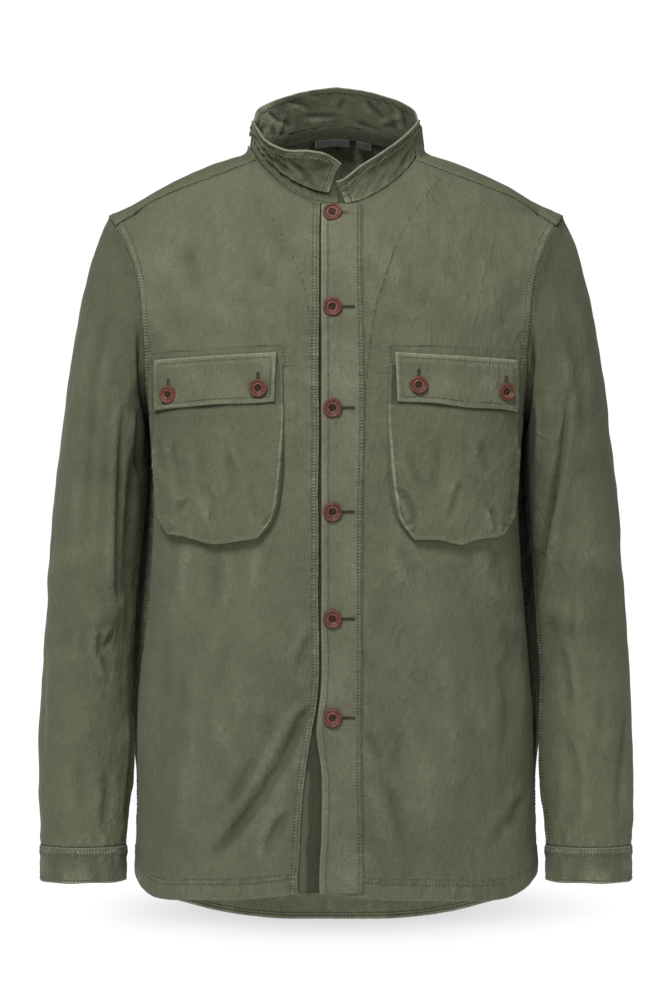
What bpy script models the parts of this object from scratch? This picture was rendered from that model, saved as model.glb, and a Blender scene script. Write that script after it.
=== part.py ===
"""Field jacket, worn shape, as separate cloth pieces.

Frame: metres, +Z up, the jacket faces -Y, and its own left side is at +X.
The origin is the middle of the neck opening, level with the shoulder line.

Every panel lies on one body surface.  body_y gives that surface's depth for
any (x, z) on the front or the back, so a seam, a pocket or a button is placed
by its height and its distance from the centre front, and lies on the cloth by
construction.  Pieces that meet at a seam share their points along it, a gap of
SEAM apart.
"""

import bpy
import numpy as np

# ---------------------------------------------------------------- driving dimensions

WALL = 0.0014
"""Thickness of one layer of cotton drill with its seam allowance."""
DOUBLE_WALL = 0.0020
"""Thickness of folded pieces: cuffs, flaps and the collar."""
SEAM = 0.0004
"""Gap between two pieces at a seam."""
LAY = 0.0006
"""Gap under a piece that lies on another one."""
POCKET_LAY = 0.0012
"""The same under a pocket, which wraps round towards the side."""

CHEST = -0.200
"""Height at which the chest and the back reach their full depth."""
FALL_POWER = 2.2
ROUND_POWER = 1.6
"""Powers of the curve by which that depth falls away over the shoulder."""
SHOULDER_TIP = -0.067
UNDERARM = -0.265
ARMHOLE_DEPTH = 0.085
"""Half of the armhole's width from front to back."""
NECK_WIDTH = 0.087
"""Half of the neck opening's width."""
NECK_FRONT = 0.090
NECK_BACK = 0.065
NECK_MIDDLE = 0.005
NECK_POINT = 0.079
"""Distance from the centre at which the yoke seam meets the neckline."""
RIDGE_NEAR_NECK = 0.058
YOKE_BACK = -0.085
"""Height of the seam between yoke and back."""

FRONT_CORNER = 28.5
BACK_CORNER = 41.9
JOIN_ANGLE = 68.7
"""Angles round the armhole, from the shoulder tip: yoke to front, yoke to back, and the first level row."""

PLACKET_EDGE = 0.0140
"""How far the left front's edge passes the centre."""
PLACKET_WIDTH = 0.0400
STAND_TUCK = 0.0100
"""How far the button stand runs in behind the right front."""
STAND_LAY = 0.0009
STAND_REACH = 0.0120
"""How far the button stand passes the centre behind the left front."""

COLLAR_STAND = 0.0135
STAND_LEFT_END = -181.5
COLLAR_LEFT_END = -175.0
COLLAR_RIGHT_END = 173.5
COLLAR_LEFT_SLANT = 8.5
COLLAR_RIGHT_SLANT = 6.5
"""Angles of the ends of the stand and of the leaf at the neck seam, and how far the leaf's slant carries on."""
COLLAR_INSET = 0.0006
COLLAR_TUCK = 0.0040
TUCK_FROM = -146.0
TUCK_SPAN = 26.0
"""The left end of the collar passes behind the right one: how deep, and over which angles it goes in."""
COLLAR_LEAN = 0.0020
COLLAR_BEHIND = 0.0016
"""How far the leaf curves in between its edges, and how far it sets back at the centre front."""
LABEL_RISE = (-0.0092, 0.0014)
"""The labels are caught in the neck seam and hang below it."""
LABEL_LAY = 0.0009
LABEL_THICK = 0.0010

CUFF_TOP = -0.6925
CUFF_BOTTOM = -0.7275
CUFF_GROW = (1.010, 1.022)
"""Size of the cuff's top and bottom ring, next to the end of the sleeve."""

BUTTON_SIZE = 0.0188
POCKET_BUTTON_SIZE = 0.0178
BUTTON_THICK = 0.0032
BUTTON_SIDES = 14

ARM_MIDDLE = (SHOULDER_TIP + UNDERARM) / 2
ARM_HALF = (SHOULDER_TIP - UNDERARM) / 2
ARM_NODES = np.concatenate([
    [0.0, FRONT_CORNER / 2, FRONT_CORNER, BACK_CORNER, (BACK_CORNER + JOIN_ANGLE) / 2],
    np.linspace(JOIN_ANGLE, 180.0, 9)])
"""Angles that every piece uses where it meets the armhole seam."""
JOIN = ARM_MIDDLE + ARM_HALF * np.cos(np.radians(JOIN_ANGLE))
"""Height below which a panel's rows are level."""


def table(columns, rows):
    """Rows of numbers with a name for each column."""
    return np.array([tuple(row) for row in rows], dtype=[(name, "f8") for name in columns.split()])


SILHOUETTE = table("z side", [
    (-0.800, 0.2010), (-0.715, 0.2005), (-0.655, 0.1985), (-0.625, 0.1975), (-0.545, 0.1955),
    (-0.500, 0.1910), (-0.470, 0.1880), (-0.410, 0.1835), (-0.350, 0.1815), (-0.300, 0.1840),
    (-0.265, 0.1860), (-0.235, 0.1870), (-0.202, 0.1880), (-0.179, 0.1900), (-0.135, 0.1945),
    (-0.109, 0.2025), (-0.084, 0.2150), (-0.067, 0.2270), (-0.040, 0.2460), (0.030, 0.2950),
])
"""Half width by height: the side seam, then the armhole seam, then a run-out past the shoulder."""

CORNER_AT = 0.914
BACK_CORNER_PART = 0.95
"""Part of the half width at which the next table gives the depth of the rounded corner, which is
this much shallower at the back."""

DEPTH = table("z front back round_x corner", [
    (-0.800, 0.130, 0.136, 2.4, 0.066),
    (-0.720, 0.131, 0.135, 2.4, 0.067),
    (-0.600, 0.131, 0.129, 2.5, 0.070),
    (-0.450, 0.133, 0.125, 2.6, 0.076),
    (-0.350, 0.136, 0.127, 2.7, 0.085),
    (-0.265, 0.137, 0.130, 2.8, 0.092),
    (-0.200, 0.135, 0.130, 2.7, 0.093),
    (0.030, 0.135, 0.130, 2.6, 0.093),
])
"""Depth of front and back at the centre, and the shape of the level section."""

RIDGE = table("x z", [
    (0.000, 0.020), (0.045, 0.015), (0.091, 0.003), (0.1285, -0.010), (0.1635, -0.025),
    (0.1945, -0.040), (0.2175, -0.055), (0.227, -0.067), (0.260, -0.110),
])
"""Shoulder line from the neck to the shoulder tip."""

YOKE_FRONT = table("x z", [
    (0.0790, -0.0135), (0.1155, -0.0277), (0.1570, -0.0426), (0.1860, -0.0555), (0.2030, -0.0674),
    (0.2185, -0.0790),
])
"""Seam between the yoke and each front."""

BACK_FULLNESS = table("z out", [
    (-0.800, 0.000), (-0.665, 0.000), (-0.640, 0.004), (-0.600, 0.011), (-0.560, 0.017), (-0.500, 0.021),
    (-0.420, 0.021), (-0.340, 0.0135), (-0.300, 0.0055), (-0.280, 0.002), (-0.265, 0.000), (-0.060, 0.000),
])
"""How far the back swells sideways behind the side seam, where the cloth hangs off the blades."""
SWELL_DEPTH = 0.10
"""Depth behind the side seam over which that fullness rises and falls again."""

HEM_LEVEL = -0.716
HEM_START = -0.385
"""Rows of a panel are level down to HEM_START and then turn into the hem curve, the last one being
worked out from HEM_LEVEL."""
FRONT_STEP = 0.028
BACK_STEP = 0.030
"""Height of the rows below the armhole."""

HEM = table("along front back", [
    (0.00, -0.7325, -0.7820), (0.25, -0.7385, -0.7805), (0.45, -0.7400, -0.7720), (0.60, -0.7405, -0.7610),
    (0.75, -0.7390, -0.7490), (0.87, -0.7300, -0.7350), (1.00, -0.7150, -0.7150),
])
"""Hem height from the middle of a panel to its side seam."""

FRONT_EDGE = table("z x", [
    (-0.800, 0.0385), (-0.7325, 0.0382), (-0.670, 0.0353), (-0.616, 0.0315), (-0.568, 0.0240),
    (-0.530, 0.0175), (-0.480, 0.0165), (0.000, 0.0162),
])
"""Folded edge of the right front, which swings open below the last button."""

FOLDS_FRONT = table("x0 z0 x1 z1 width height", [
    (-0.062, -0.560, -0.120, -0.690, 0.016, -0.0050),
    (-0.080, -0.520, -0.150, -0.640, 0.020, 0.0040),
    (-0.110, -0.410, -0.165, -0.560, 0.018, -0.0040),
    (0.050, -0.560, 0.085, -0.720, 0.018, -0.0045),
    (0.075, -0.430, 0.150, -0.600, 0.022, 0.0035),
    (0.120, -0.420, 0.172, -0.540, 0.016, -0.0040),
])
"""Soft folds of the fronts: two ends, half width and height, a trough being negative."""
FOLD_RUN_OUT = 0.15
FOLD_FADE = 0.35
"""How far a fold runs past its two ends, and over what part of its length it fades."""

FOLDS_BACK = table("x0 z0 x1 z1 width height", [
    (-0.150, -0.180, -0.120, -0.420, 0.022, -0.0050),
    (0.150, -0.180, 0.115, -0.440, 0.022, -0.0050),
    (-0.060, -0.420, -0.090, -0.720, 0.024, 0.0045),
    (0.050, -0.450, 0.080, -0.740, 0.026, 0.0040),
    (-0.010, -0.500, 0.015, -0.760, 0.020, -0.0040),
])

SLEEVE_START = 0.0016
"""Place along the sleeve at which its cloth begins, just clear of the armhole seam."""
SLEEVE_RINGS = 19
SLEEVE_SPACING = 1.08
LOOP_REACH = 0.22
"""Part of the sleeve over which its rings change from the armhole loop to plain ovals."""
FOLD_LEAN = 0.05
"""How far a sleeve's folds climb for each radian around it."""

SLEEVE_COURSE = table("along outer_z inner_z depth middle", [
    (0.00, -0.067, -0.265, 0.085, 0.000),
    (0.08, -0.108, -0.292, 0.084, -0.001),
    (0.20, -0.190, -0.332, 0.080, -0.003),
    (0.35, -0.300, -0.388, 0.073, -0.006),
    (0.50, -0.400, -0.445, 0.067, -0.010),
    (0.65, -0.490, -0.512, 0.061, -0.014),
    (0.82, -0.590, -0.596, 0.053, -0.019),
    (1.00, -0.6925, -0.6925, 0.043, -0.023),
])
"""Rings of a sleeve: heights of its outer and inner line, half depth, and how far it swings forward."""

SLEEVE_OUTER = table("z x", [
    (-0.7280, 0.2955), (-0.7150, 0.2950), (-0.6850, 0.2935), (-0.6550, 0.2955), (-0.6100, 0.2955),
    (-0.5500, 0.2935), (-0.4900, 0.2905), (-0.4300, 0.2865), (-0.3700, 0.2825), (-0.3100, 0.2765),
    (-0.2500, 0.2695), (-0.2200, 0.2655), (-0.1900, 0.2605), (-0.1600, 0.2555), (-0.1300, 0.2490),
    (-0.1000, 0.2405), (-0.0850, 0.2350), (-0.0670, 0.2270),
])
SLEEVE_INNER = table("z x", [
    (-0.7280, 0.2095), (-0.6850, 0.2085), (-0.6250, 0.2030), (-0.5050, 0.2030), (-0.4720, 0.2005),
    (-0.4230, 0.1975), (-0.3700, 0.1915), (-0.3210, 0.1880), (-0.2900, 0.1885), (-0.2650, 0.1870),
])

FOLDS_SLEEVE = table("along around width_along width_around height", [
    (0.30, 1.10, 0.030, 0.45, -0.0040),
    (0.42, 5.20, 0.026, 0.60, -0.0050),
    (0.50, 1.00, 0.026, 0.60, -0.0045),
    (0.57, 1.90, 0.026, 0.55, -0.0045),
    (0.63, 1.10, 0.030, 0.60, 0.0030),
    (0.80, 1.40, 0.030, 0.50, -0.0035),
    (0.88, 4.60, 0.028, 0.55, -0.0035),
])
"""Elbow and forearm folds, by place along and angle around the sleeve."""

COLLAR = table("angle rise_right rise_left flare", [
    (0.0, 0.0520, 0.0520, 0.0050),
    (30.0, 0.0510, 0.0510, 0.0040),
    (50.0, 0.0480, 0.0480, 0.0025),
    (62.0, 0.0410, 0.0420, 0.0010),
    (72.0, 0.0300, 0.0310, 0.0005),
    (82.0, 0.0250, 0.0250, 0.0010),
    (95.0, 0.0260, 0.0250, 0.0020),
    (115.0, 0.0310, 0.0285, 0.0035),
    (135.0, 0.0360, 0.0320, 0.0045),
    (150.0, 0.0370, 0.0370, 0.0060),
    (165.0, 0.0330, 0.0420, 0.0070),
    (176.0, 0.0230, 0.0440, 0.0070),
    (185.0, 0.0200, 0.0380, 0.0060),
])
"""Height of the collar's free edge over the neck seam on each side, by angle from the centre back."""

FRONT_BUTTONS = (-0.0709, -0.1633, -0.2611, -0.3617, -0.4653, -0.5612)
BUTTON_LINE = -0.0034

POCKET_INNER = 0.0515
POCKET_OUTER = 0.1775
POCKET_TOP = -0.2190
POCKET_BOTTOM = -0.3880
POCKET_SAG = 0.006
POCKET_TILT = 0.004
"""How far a pocket's lower edge sags in its middle, and rises towards the side."""
POCKET_RIM = 0.01
"""Part of a pocket's width and height that is its flat sewn rim."""
MOUTH_REACH = 0.40
"""Part of a pocket's height, from the top, that lies under the flap."""
FLAP_INNER = 0.0575
FLAP_OUTER = 0.1770
FLAP_TOP = -0.2070
FLAP_BOTTOM = -0.2545
FLAP_SLOPE = 0.006
FLAP_DROP = 0.003
"""How far a flap's outer end is lower at its top, and how much more at its bottom."""
FLAP_TAPER = 0.002
FLAP_SEWN = 0.2
"""Part of a flap's height over which it climbs from its seam to the pocket's face."""
POCKET_BUTTONS = table("x z", [
    (-0.1590, -0.2475), (-0.0745, -0.2425), (0.0790, -0.2395), (0.1610, -0.2450),
])

POCKET_RELIEF = table("in_from_edge lift", [
    (0.000, 0.0026), (0.020, 0.0066), (0.075, 0.0074), (0.150, 0.0048), (0.300, 0.0036), (0.500, 0.0034),
])
"""Thickness of a flat bellows pocket: the gusset is folded under its edges."""
FLAP_CLEARANCE = 0.0049
"""Height of a flap's inner face over the front, clear of the pocket's mouth."""
MOUTH_RELIEF = 0.0035
"""Greatest thickness of a pocket under its flap."""

COLOURS = {
    "drill": ((0.132, 0.140, 0.088), 0.88),
    "drill_worn": ((0.165, 0.172, 0.115), 0.86),
    "drill_inside": ((0.085, 0.088, 0.055), 0.90),
    "label": ((0.050, 0.050, 0.046), 0.80),
    "corozo": ((0.130, 0.036, 0.018), 0.42),
}


# ---------------------------------------------------------------- curves and the body surface

def curve(rows, column, at):
    """Smooth curve through a column, by the table's first column.

    It is a cubic between two rows, its slope at a row taken from both neighbours.
    """
    x = rows[rows.dtype.names[0]]
    y = rows[column]
    slope = np.gradient(y, x)
    at = np.clip(np.asarray(at, dtype=float), x[0], x[-1])
    i = np.clip(np.searchsorted(x, at, side="right") - 1, 0, len(x) - 2)
    step = x[i + 1] - x[i]
    t = (at - x[i]) / step
    rise = y[i] * (1 + 2 * t) * (1 - t) ** 2 + y[i + 1] * t ** 2 * (3 - 2 * t)
    return rise + step * (slope[i] * t * (1 - t) ** 2 - slope[i + 1] * t ** 2 * (1 - t))


def ease(t):
    """Smooth step from 0 to 1."""
    t = np.clip(t, 0.0, 1.0)
    return t * t * (3 - 2 * t)


def ridge_y(x):
    """Depth of the shoulder line: it runs back behind the neck."""
    return NECK_MIDDLE + RIDGE_NEAR_NECK * np.clip(1 - (x / NECK_WIDTH) ** 2, 0, 1)


def armhole_y(z, side):
    """Depth of the armhole seam at a height; side is -1 on the front and 1 on the back."""
    cosine = np.clip((z - ARM_MIDDLE) / ARM_HALF, -1, 1)
    return NECK_MIDDLE * (1 + cosine) / 2 + side * ARMHOLE_DEPTH * np.sqrt(1 - cosine ** 2)


def corner_power(z, side):
    """Power that brings a section through its corner depth, whatever depth its end has."""
    depth = curve(DEPTH, "front" if side < 0 else "back", z)
    corner = curve(DEPTH, "corner", z) * (1.0 if side < 0 else BACK_CORNER_PART)
    edge = side * armhole_y(z, side)
    closing = 1 - CORNER_AT ** curve(DEPTH, "round_x", z)
    return np.log((corner - edge) / (depth - edge)) / np.log(closing)


def body_y(x, z, side):
    """Depth of the body surface.

    The chest's depth falls away over the shoulder as (1 - t^FALL_POWER)^(1/ROUND_POWER), t going from 0
    at chest height to 1 at the shoulder line.  From the centre to the side it closes as a squared ellipse
    onto the side seam or the armhole seam.
    """
    x = np.abs(x)
    reach = curve(SILHOUETTE, "side", z)
    depth = side * curve(DEPTH, "front" if side < 0 else "back", z)
    top = curve(RIDGE, "z", x)
    t = np.clip((z - CHEST) / (top - CHEST), 0, 1)
    middle = ridge_y(x)
    profile = middle + (depth - middle) * (1 - t ** FALL_POWER) ** (1 / ROUND_POWER)
    edge = armhole_y(z, side)
    across = 1 - np.clip(x / reach, 0, 1) ** curve(DEPTH, "round_x", z)
    return edge + (profile - edge) * across ** corner_power(np.minimum(z, CHEST), side)


def top_z(x, y, side, halvings=40):
    """Height of the body surface over a point of the plan, found by halving the interval."""
    low = np.full(np.shape(x), CHEST)
    high = curve(RIDGE, "z", np.abs(x))
    for _ in range(halvings):
        middle = (low + high) / 2
        beyond = side * body_y(x, middle, side) > side * y
        low = np.where(beyond, middle, low)
        high = np.where(beyond, high, middle)
    return (low + high) / 2


def fold_height(x, z, folds):
    """Sum of soft folds, each a bell across its line and fading at its ends."""
    total = np.zeros(np.shape(x))
    for fold in folds:
        along_x = fold["x1"] - fold["x0"]
        along_z = fold["z1"] - fold["z0"]
        length = np.hypot(along_x, along_z)
        along = ((x - fold["x0"]) * along_x + (z - fold["z0"]) * along_z) / length ** 2
        across = ((x - fold["x0"]) * along_z - (z - fold["z0"]) * along_x) / length
        fade = ease((along + FOLD_RUN_OUT) / FOLD_FADE) * ease((1 + FOLD_RUN_OUT - along) / FOLD_FADE)
        total += fold["height"] * np.exp(-(across / fold["width"]) ** 2) * fade
    return total


def normals(points):
    """Unit normals of a grid of points from the cross product of its two directions."""
    cross = np.cross(np.gradient(points, axis=0), np.gradient(points, axis=1))
    return cross / np.linalg.norm(cross, axis=2, keepdims=True)


def front_points(x, z, lift, nudge=0.0005):
    """Points of the front surface, with its folds, moved out by lift along its slope."""
    y = body_y(x, z, -1)
    slope_x = (body_y(x + nudge, z, -1) - body_y(x - nudge, z, -1)) / (2 * nudge)
    slope_z = (body_y(x, z + nudge, -1) - body_y(x, z - nudge, -1)) / (2 * nudge)
    out = np.stack([slope_x, -np.ones(x.shape), slope_z], axis=-1)
    out /= np.linalg.norm(out, axis=-1, keepdims=True)
    lift = lift + fold_height(x, z, FOLDS_FRONT)
    return np.stack([x, y, z], axis=-1) + out * lift[..., None]


NECK_NODES = np.concatenate([
    np.linspace(0.0, 180.0 - np.degrees(np.arcsin(NECK_POINT / NECK_WIDTH)), 10),
    np.linspace(180.0 - np.degrees(np.arcsin(NECK_POINT / NECK_WIDTH)), 180.0, 7)[1:]])
"""Angles that every piece uses where it meets the neckline, from the centre back to the centre front."""
NECK_CORNER = 9
"""Index of the angle at which the yoke seam meets the neckline."""
SEAM_NODES = np.linspace(NECK_POINT, YOKE_FRONT["x"][-1], 8)
"""Distances from the centre that yoke and front share along their seam."""


def relax(points, rounds):
    """Even out a grid's inner points towards their neighbours, its edges kept."""
    points = points.copy()
    for _ in range(rounds):
        around = points[:-2, 1:-1] + points[2:, 1:-1] + points[1:-1, :-2] + points[1:-1, 2:]
        points[1:-1, 1:-1] += (around / 4 - points[1:-1, 1:-1]) / 2
    return points


def neck_ring(angle):
    """Neckline by angle from the centre back, in degrees: an oval in plan, laid on the body surface."""
    turn = np.radians(angle)
    x = NECK_WIDTH * np.sin(turn)
    cosine = np.cos(turn)
    y = NECK_MIDDLE + np.where(cosine < 0, NECK_FRONT, NECK_BACK) * cosine
    z = np.where(cosine < 0, top_z(x, y, -1), top_z(x, y, 1))
    return np.stack([x, y, z], axis=-1)


# ---------------------------------------------------------------- meshes

def material(name):
    """Matt or polished plain material from the colour table."""
    found = bpy.data.materials.get(name)
    if found:
        return found
    colour, roughness = COLOURS[name]
    made = bpy.data.materials.new(name)
    made.use_nodes = True
    shader = made.node_tree.nodes["Principled BSDF"]
    shader.inputs["Base Color"].default_value = (*colour, 1.0)
    shader.inputs["Roughness"].default_value = roughness
    shader.inputs["Metallic"].default_value = 0.0
    return made


def add_object(name, points, faces, finish):
    """Mesh object with one material, shaded smooth."""
    mesh = bpy.data.meshes.new(name)
    mesh.from_pydata(points.tolist(), [], faces)
    mesh.update()
    mesh.shade_smooth()
    mesh.materials.append(material(finish))
    made = bpy.data.objects.new(name, mesh)
    bpy.context.scene.collection.objects.link(made)
    return made


def grid_faces(rows, columns, start=0, wrap=False, flip=False):
    """Quads of a grid, closed into a tube if wrap is set."""
    faces = []
    for i in range(rows - 1):
        for j in range(columns if wrap else columns - 1):
            k = (j + 1) % columns
            quad = (start + i * columns + j, start + i * columns + k,
                    start + (i + 1) * columns + k, start + (i + 1) * columns + j)
            faces.append(quad[::-1] if flip else quad)
    return faces


def cloth(name, points, thickness, finish, wrap=False, flip=False):
    """One cloth piece: a grid of outer points, thickened inwards."""
    rows, columns = points.shape[:2]
    made = add_object(name, points.reshape(-1, 3), grid_faces(rows, columns, 0, wrap, flip), finish)
    solid = made.modifiers.new("thickness", "SOLIDIFY")
    solid.thickness = thickness
    solid.offset = -1.0
    solid.use_rim = True
    return made


def slab(name, inner, outer, finish):
    """Closed piece between two grids of points, joined round their edges."""
    rows, columns = inner.shape[:2]
    count = rows * columns
    faces = grid_faces(rows, columns) + grid_faces(rows, columns, count, False, True)
    top = [j for j in range(columns)]
    right = [i * columns + columns - 1 for i in range(rows)]
    bottom = [(rows - 1) * columns + j for j in reversed(range(columns))]
    left = [i * columns for i in reversed(range(rows))]
    edge = top + right[1:] + bottom[1:] + left[1:-1]
    for a, b in zip(edge, edge[1:] + edge[:1]):
        faces.append((b, a, a + count, b + count))
    return add_object(name, np.concatenate([inner.reshape(-1, 3), outer.reshape(-1, 3)]), faces, finish)


# ---------------------------------------------------------------- panels

def section_points(z, start, side, columns, end_gap):
    """Points at even arc length along one level section, from start to the side."""
    reach = curve(SILHOUETTE, "side", z)
    turn = np.linspace(np.arcsin(start / reach), np.pi / 2, 400)
    x = reach * np.sin(turn)
    y = body_y(x, np.full(x.shape, z), side)
    run = np.concatenate([[0], np.cumsum(np.hypot(np.diff(x), np.diff(y)))])
    at = np.linspace(0, run[-1] - end_gap, columns)
    return np.interp(at, run, x), np.interp(at, run, y)


def panel_levels(z_top, z_bottom, step):
    """Even levels between two heights, no further apart than step."""
    count = int(np.ceil((z_top - z_bottom) / step)) + 1
    return np.linspace(z_top, z_bottom, count)


def hem_drop(level, hem_z):
    """Height of a row's points: level on the body, blending to the hem curve over its lower part."""
    return level + (hem_z - HEM_LEVEL) * ease((HEM_START - level) / (HEM_START - HEM_LEVEL))


def half_panel(side, top_x, top_z_row, starts, columns, row_step, hem):
    """Half of a panel, for x from its start to the side.

    Above JOIN the rows blend from the shaped top edge to the level at JOIN while their ends follow the
    armhole.  Below it they are level, and over the last quarter they blend to the hem curve.
    """
    join_x, _ = section_points(JOIN, starts(JOIN), side, columns, SEAM)
    first = FRONT_CORNER if side < 0 else BACK_CORNER
    nodes = ARM_NODES[(ARM_NODES > first - 1) & (ARM_NODES < JOIN_ANGLE + 1)]
    end = (ARM_MIDDLE + ARM_HALF * np.cos(np.radians(nodes)))[:, None]
    blend = (end - end[0]) / (JOIN - end[0])
    x = top_x * (1 - blend) + join_x * blend
    z = top_z_row * (1 - blend) + JOIN * blend
    along = np.linspace(0, 1, columns)
    x = x + along * (curve(SILHOUETTE, "side", end) - SEAM - x[:, -1:])
    upper = np.stack([x, body_y(x, z, side), z], axis=-1)
    upper[:, -1, 1] = armhole_y(end[:, 0], side)
    arms = ARM_MIDDLE + ARM_HALF * np.cos(np.radians(ARM_NODES[ARM_NODES > JOIN_ANGLE + 1]))
    lower = panel_levels(UNDERARM, HEM_LEVEL, row_step)[1:]
    rows = []
    for level in np.concatenate([arms, lower]):
        row_x, row_y = section_points(level, starts(level), side, columns, SEAM)
        row_z = hem_drop(level, curve(HEM, hem, along))
        rows.append(np.stack([row_x, row_y, row_z], axis=-1))
    return np.concatenate([upper, np.array(rows)])


def yoke_front_z(x):
    """Height of the front yoke seam."""
    return curve(YOKE_FRONT, "z", np.abs(x))


def front(name, sign, starts):
    """One front: neckline, yoke seam, armhole, side seam and hem."""
    first = 180 - np.degrees(np.arcsin(starts(0.0) / NECK_WIDTH))
    nodes = NECK_NODES[:NECK_CORNER - 1:-1]
    neck = neck_ring(np.concatenate([[first], nodes[nodes < first - 3]]))
    seam_x = SEAM_NODES[1:]
    top_x = np.concatenate([neck[:, 0], seam_x])
    top_row = np.concatenate([neck[:, 2], yoke_front_z(seam_x)]) - SEAM
    points = half_panel(-1, top_x, top_row, starts, len(top_x), FRONT_STEP, "front")
    points[..., 0] *= sign
    out = normals(points) * sign
    points = points + out * fold_height(points[..., 0], points[..., 2], FOLDS_FRONT)[..., None]
    return cloth(name, points, WALL, "drill", flip=sign > 0)


def yoke_back_seam(columns):
    """Seam between yoke and back, from the centre to the armhole."""
    corner = ARM_MIDDLE + ARM_HALF * np.cos(np.radians(BACK_CORNER))
    x = np.linspace(0, curve(SILHOUETTE, "side", corner), columns)
    return x, YOKE_BACK + (corner - YOKE_BACK) * (x / x[-1]) ** 2


def back(columns=12):
    """The back, from the yoke seam to the hem, made as two halves that share the centre line."""
    def centre(_):
        return 0.0

    seam_x, seam_z = yoke_back_seam(columns)
    half = half_panel(1, seam_x, seam_z - SEAM, centre, columns, BACK_STEP, "back")
    behind = np.clip(half[..., 1] / SWELL_DEPTH, 0, 1)
    half[..., 0] += curve(BACK_FULLNESS, "out", half[..., 2]) * np.sin(np.pi * behind)
    mirrored = half[:, :0:-1].copy()
    mirrored[..., 0] *= -1
    points = np.concatenate([mirrored, half], axis=1)
    out = -normals(points)
    points = points + out * fold_height(points[..., 0], points[..., 2], FOLDS_BACK)[..., None]
    return cloth("back", points, WALL, "drill")


def yoke():
    """The yoke: its front edge follows seam, neckline and seam, its back edge is the back seam."""
    seam_x = SEAM_NODES[:0:-1]
    seam = np.stack([seam_x, body_y(seam_x, yoke_front_z(seam_x), -1)], axis=-1)
    neck = neck_ring(NECK_NODES[NECK_CORNER::-1])[:, :2]
    front_edge = np.concatenate([seam, neck])
    back_x, back_z = yoke_back_seam(len(front_edge))
    back_edge = np.stack([back_x, body_y(back_x, back_z, 1)], axis=-1)[::-1]
    nodes = np.concatenate([ARM_NODES[2::-1], -ARM_NODES[1:4]])
    blend = np.linspace(0, 1, len(nodes))[:, None, None]
    plan = front_edge * (1 - blend) + back_edge * blend
    x = plan[..., 0]
    y = plan[..., 1]
    z = np.where(y < ridge_y(x), top_z(x, y, -1), top_z(x, y, 1))
    half = np.stack([x, y, z], axis=-1)
    half[:, 0] = armhole_loop(np.radians(nodes))
    half[:, 0, 0] -= SEAM
    half[0, :, 2] += SEAM
    mirrored = half[:, -2::-1].copy()
    mirrored[..., 0] *= -1
    points = relax(np.concatenate([half, mirrored], axis=1), 4)
    return cloth("yoke", points, WALL, "drill")


# ---------------------------------------------------------------- sleeves and cuffs

def armhole_loop(around):
    """Armhole seam by angle: 0 at the shoulder tip, 90 degrees at the front, 180 at the underarm."""
    cosine = np.cos(around)
    z = ARM_MIDDLE + ARM_HALF * cosine
    x = curve(SILHOUETTE, "side", z)
    y = NECK_MIDDLE * (1 + cosine) / 2 - ARMHOLE_DEPTH * np.sin(around)
    return np.stack([x, y, z], axis=-1)


def sleeve_points(along, around):
    """Sleeve surface: tilted ovals between an outer and an inner line, starting as the armhole loop."""
    outer_z = curve(SLEEVE_COURSE, "outer_z", along)
    inner_z = curve(SLEEVE_COURSE, "inner_z", along)
    outer_x = curve(SLEEVE_OUTER, "x", outer_z)
    inner_x = curve(SLEEVE_INNER, "x", inner_z)
    depth = curve(SLEEVE_COURSE, "depth", along)
    middle = curve(SLEEVE_COURSE, "middle", along)

    def oval(a):
        cosine = np.cos(a)
        x = (outer_x + inner_x) / 2 + (outer_x - inner_x) / 2 * cosine
        z = (outer_z + inner_z) / 2 + (outer_z - inner_z) / 2 * cosine
        return np.stack([x, middle - depth * np.sin(a), z], axis=-1)

    loop = armhole_loop(around)
    tip = SLEEVE_OUTER["x"][-1]
    pit = SLEEVE_INNER["x"][-1]
    plain = np.stack([
        (tip + pit) / 2 + (tip - pit) / 2 * np.cos(around),
        -ARMHOLE_DEPTH * np.sin(around),
        ARM_MIDDLE + ARM_HALF * np.cos(around)], axis=-1)
    fade = (1 - ease(along / LOOP_REACH))[..., None]
    return oval(around) + (loop - plain) * fade


def sleeve(name, sign):
    """One sleeve, open at the armhole and at the cuff."""
    turn = np.radians(np.concatenate([ARM_NODES, 360 - ARM_NODES[-2:0:-1]]))
    place = np.linspace(0, 1, SLEEVE_RINGS) ** SLEEVE_SPACING
    place[0] = SLEEVE_START
    s, a = np.meshgrid(place, turn, indexing="ij")
    points = sleeve_points(s, a)
    spread = np.concatenate([points[:, -1:], points, points[:, :1]], axis=1)
    out = normals(spread)[:, 1:-1]
    height = np.zeros(s.shape)
    for fold in FOLDS_SLEEVE:
        turn_off = np.angle(np.exp(1j * (a - fold["around"])))
        lean = s - fold["along"] + FOLD_LEAN * turn_off
        height += fold["height"] * np.exp(-(lean / fold["width_along"]) ** 2
                                          - (turn_off / fold["width_around"]) ** 2)
    points = points + out * height[..., None]
    points[-1, :, 2] += SEAM
    points[..., 0] *= sign
    return cloth(name, points, WALL, "drill", wrap=True, flip=sign < 0)


def cuff(name, sign):
    """Plain cuff band, a little proud of the sleeve above it."""
    turn = np.radians(np.concatenate([ARM_NODES, 360 - ARM_NODES[-2:0:-1]]))
    ring = sleeve_points(np.ones((1, len(turn))), turn[None, :])
    centre = ring.mean(axis=1, keepdims=True)
    points = centre + (ring - centre) * np.array(CUFF_GROW)[:, None, None]
    points[..., 2] = np.array([CUFF_TOP, CUFF_BOTTOM])[:, None]
    points[..., 0] *= sign
    return cloth(name, points, DOUBLE_WALL, "drill_worn", wrap=True, flip=sign < 0)


# ---------------------------------------------------------------- collar and labels

def collar_height(angle):
    """Height of the free edge over the neck seam."""
    right = curve(COLLAR, "rise_right", np.abs(angle))
    left = curve(COLLAR, "rise_left", np.abs(angle))
    return np.where(angle > 0, right, left)


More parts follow.
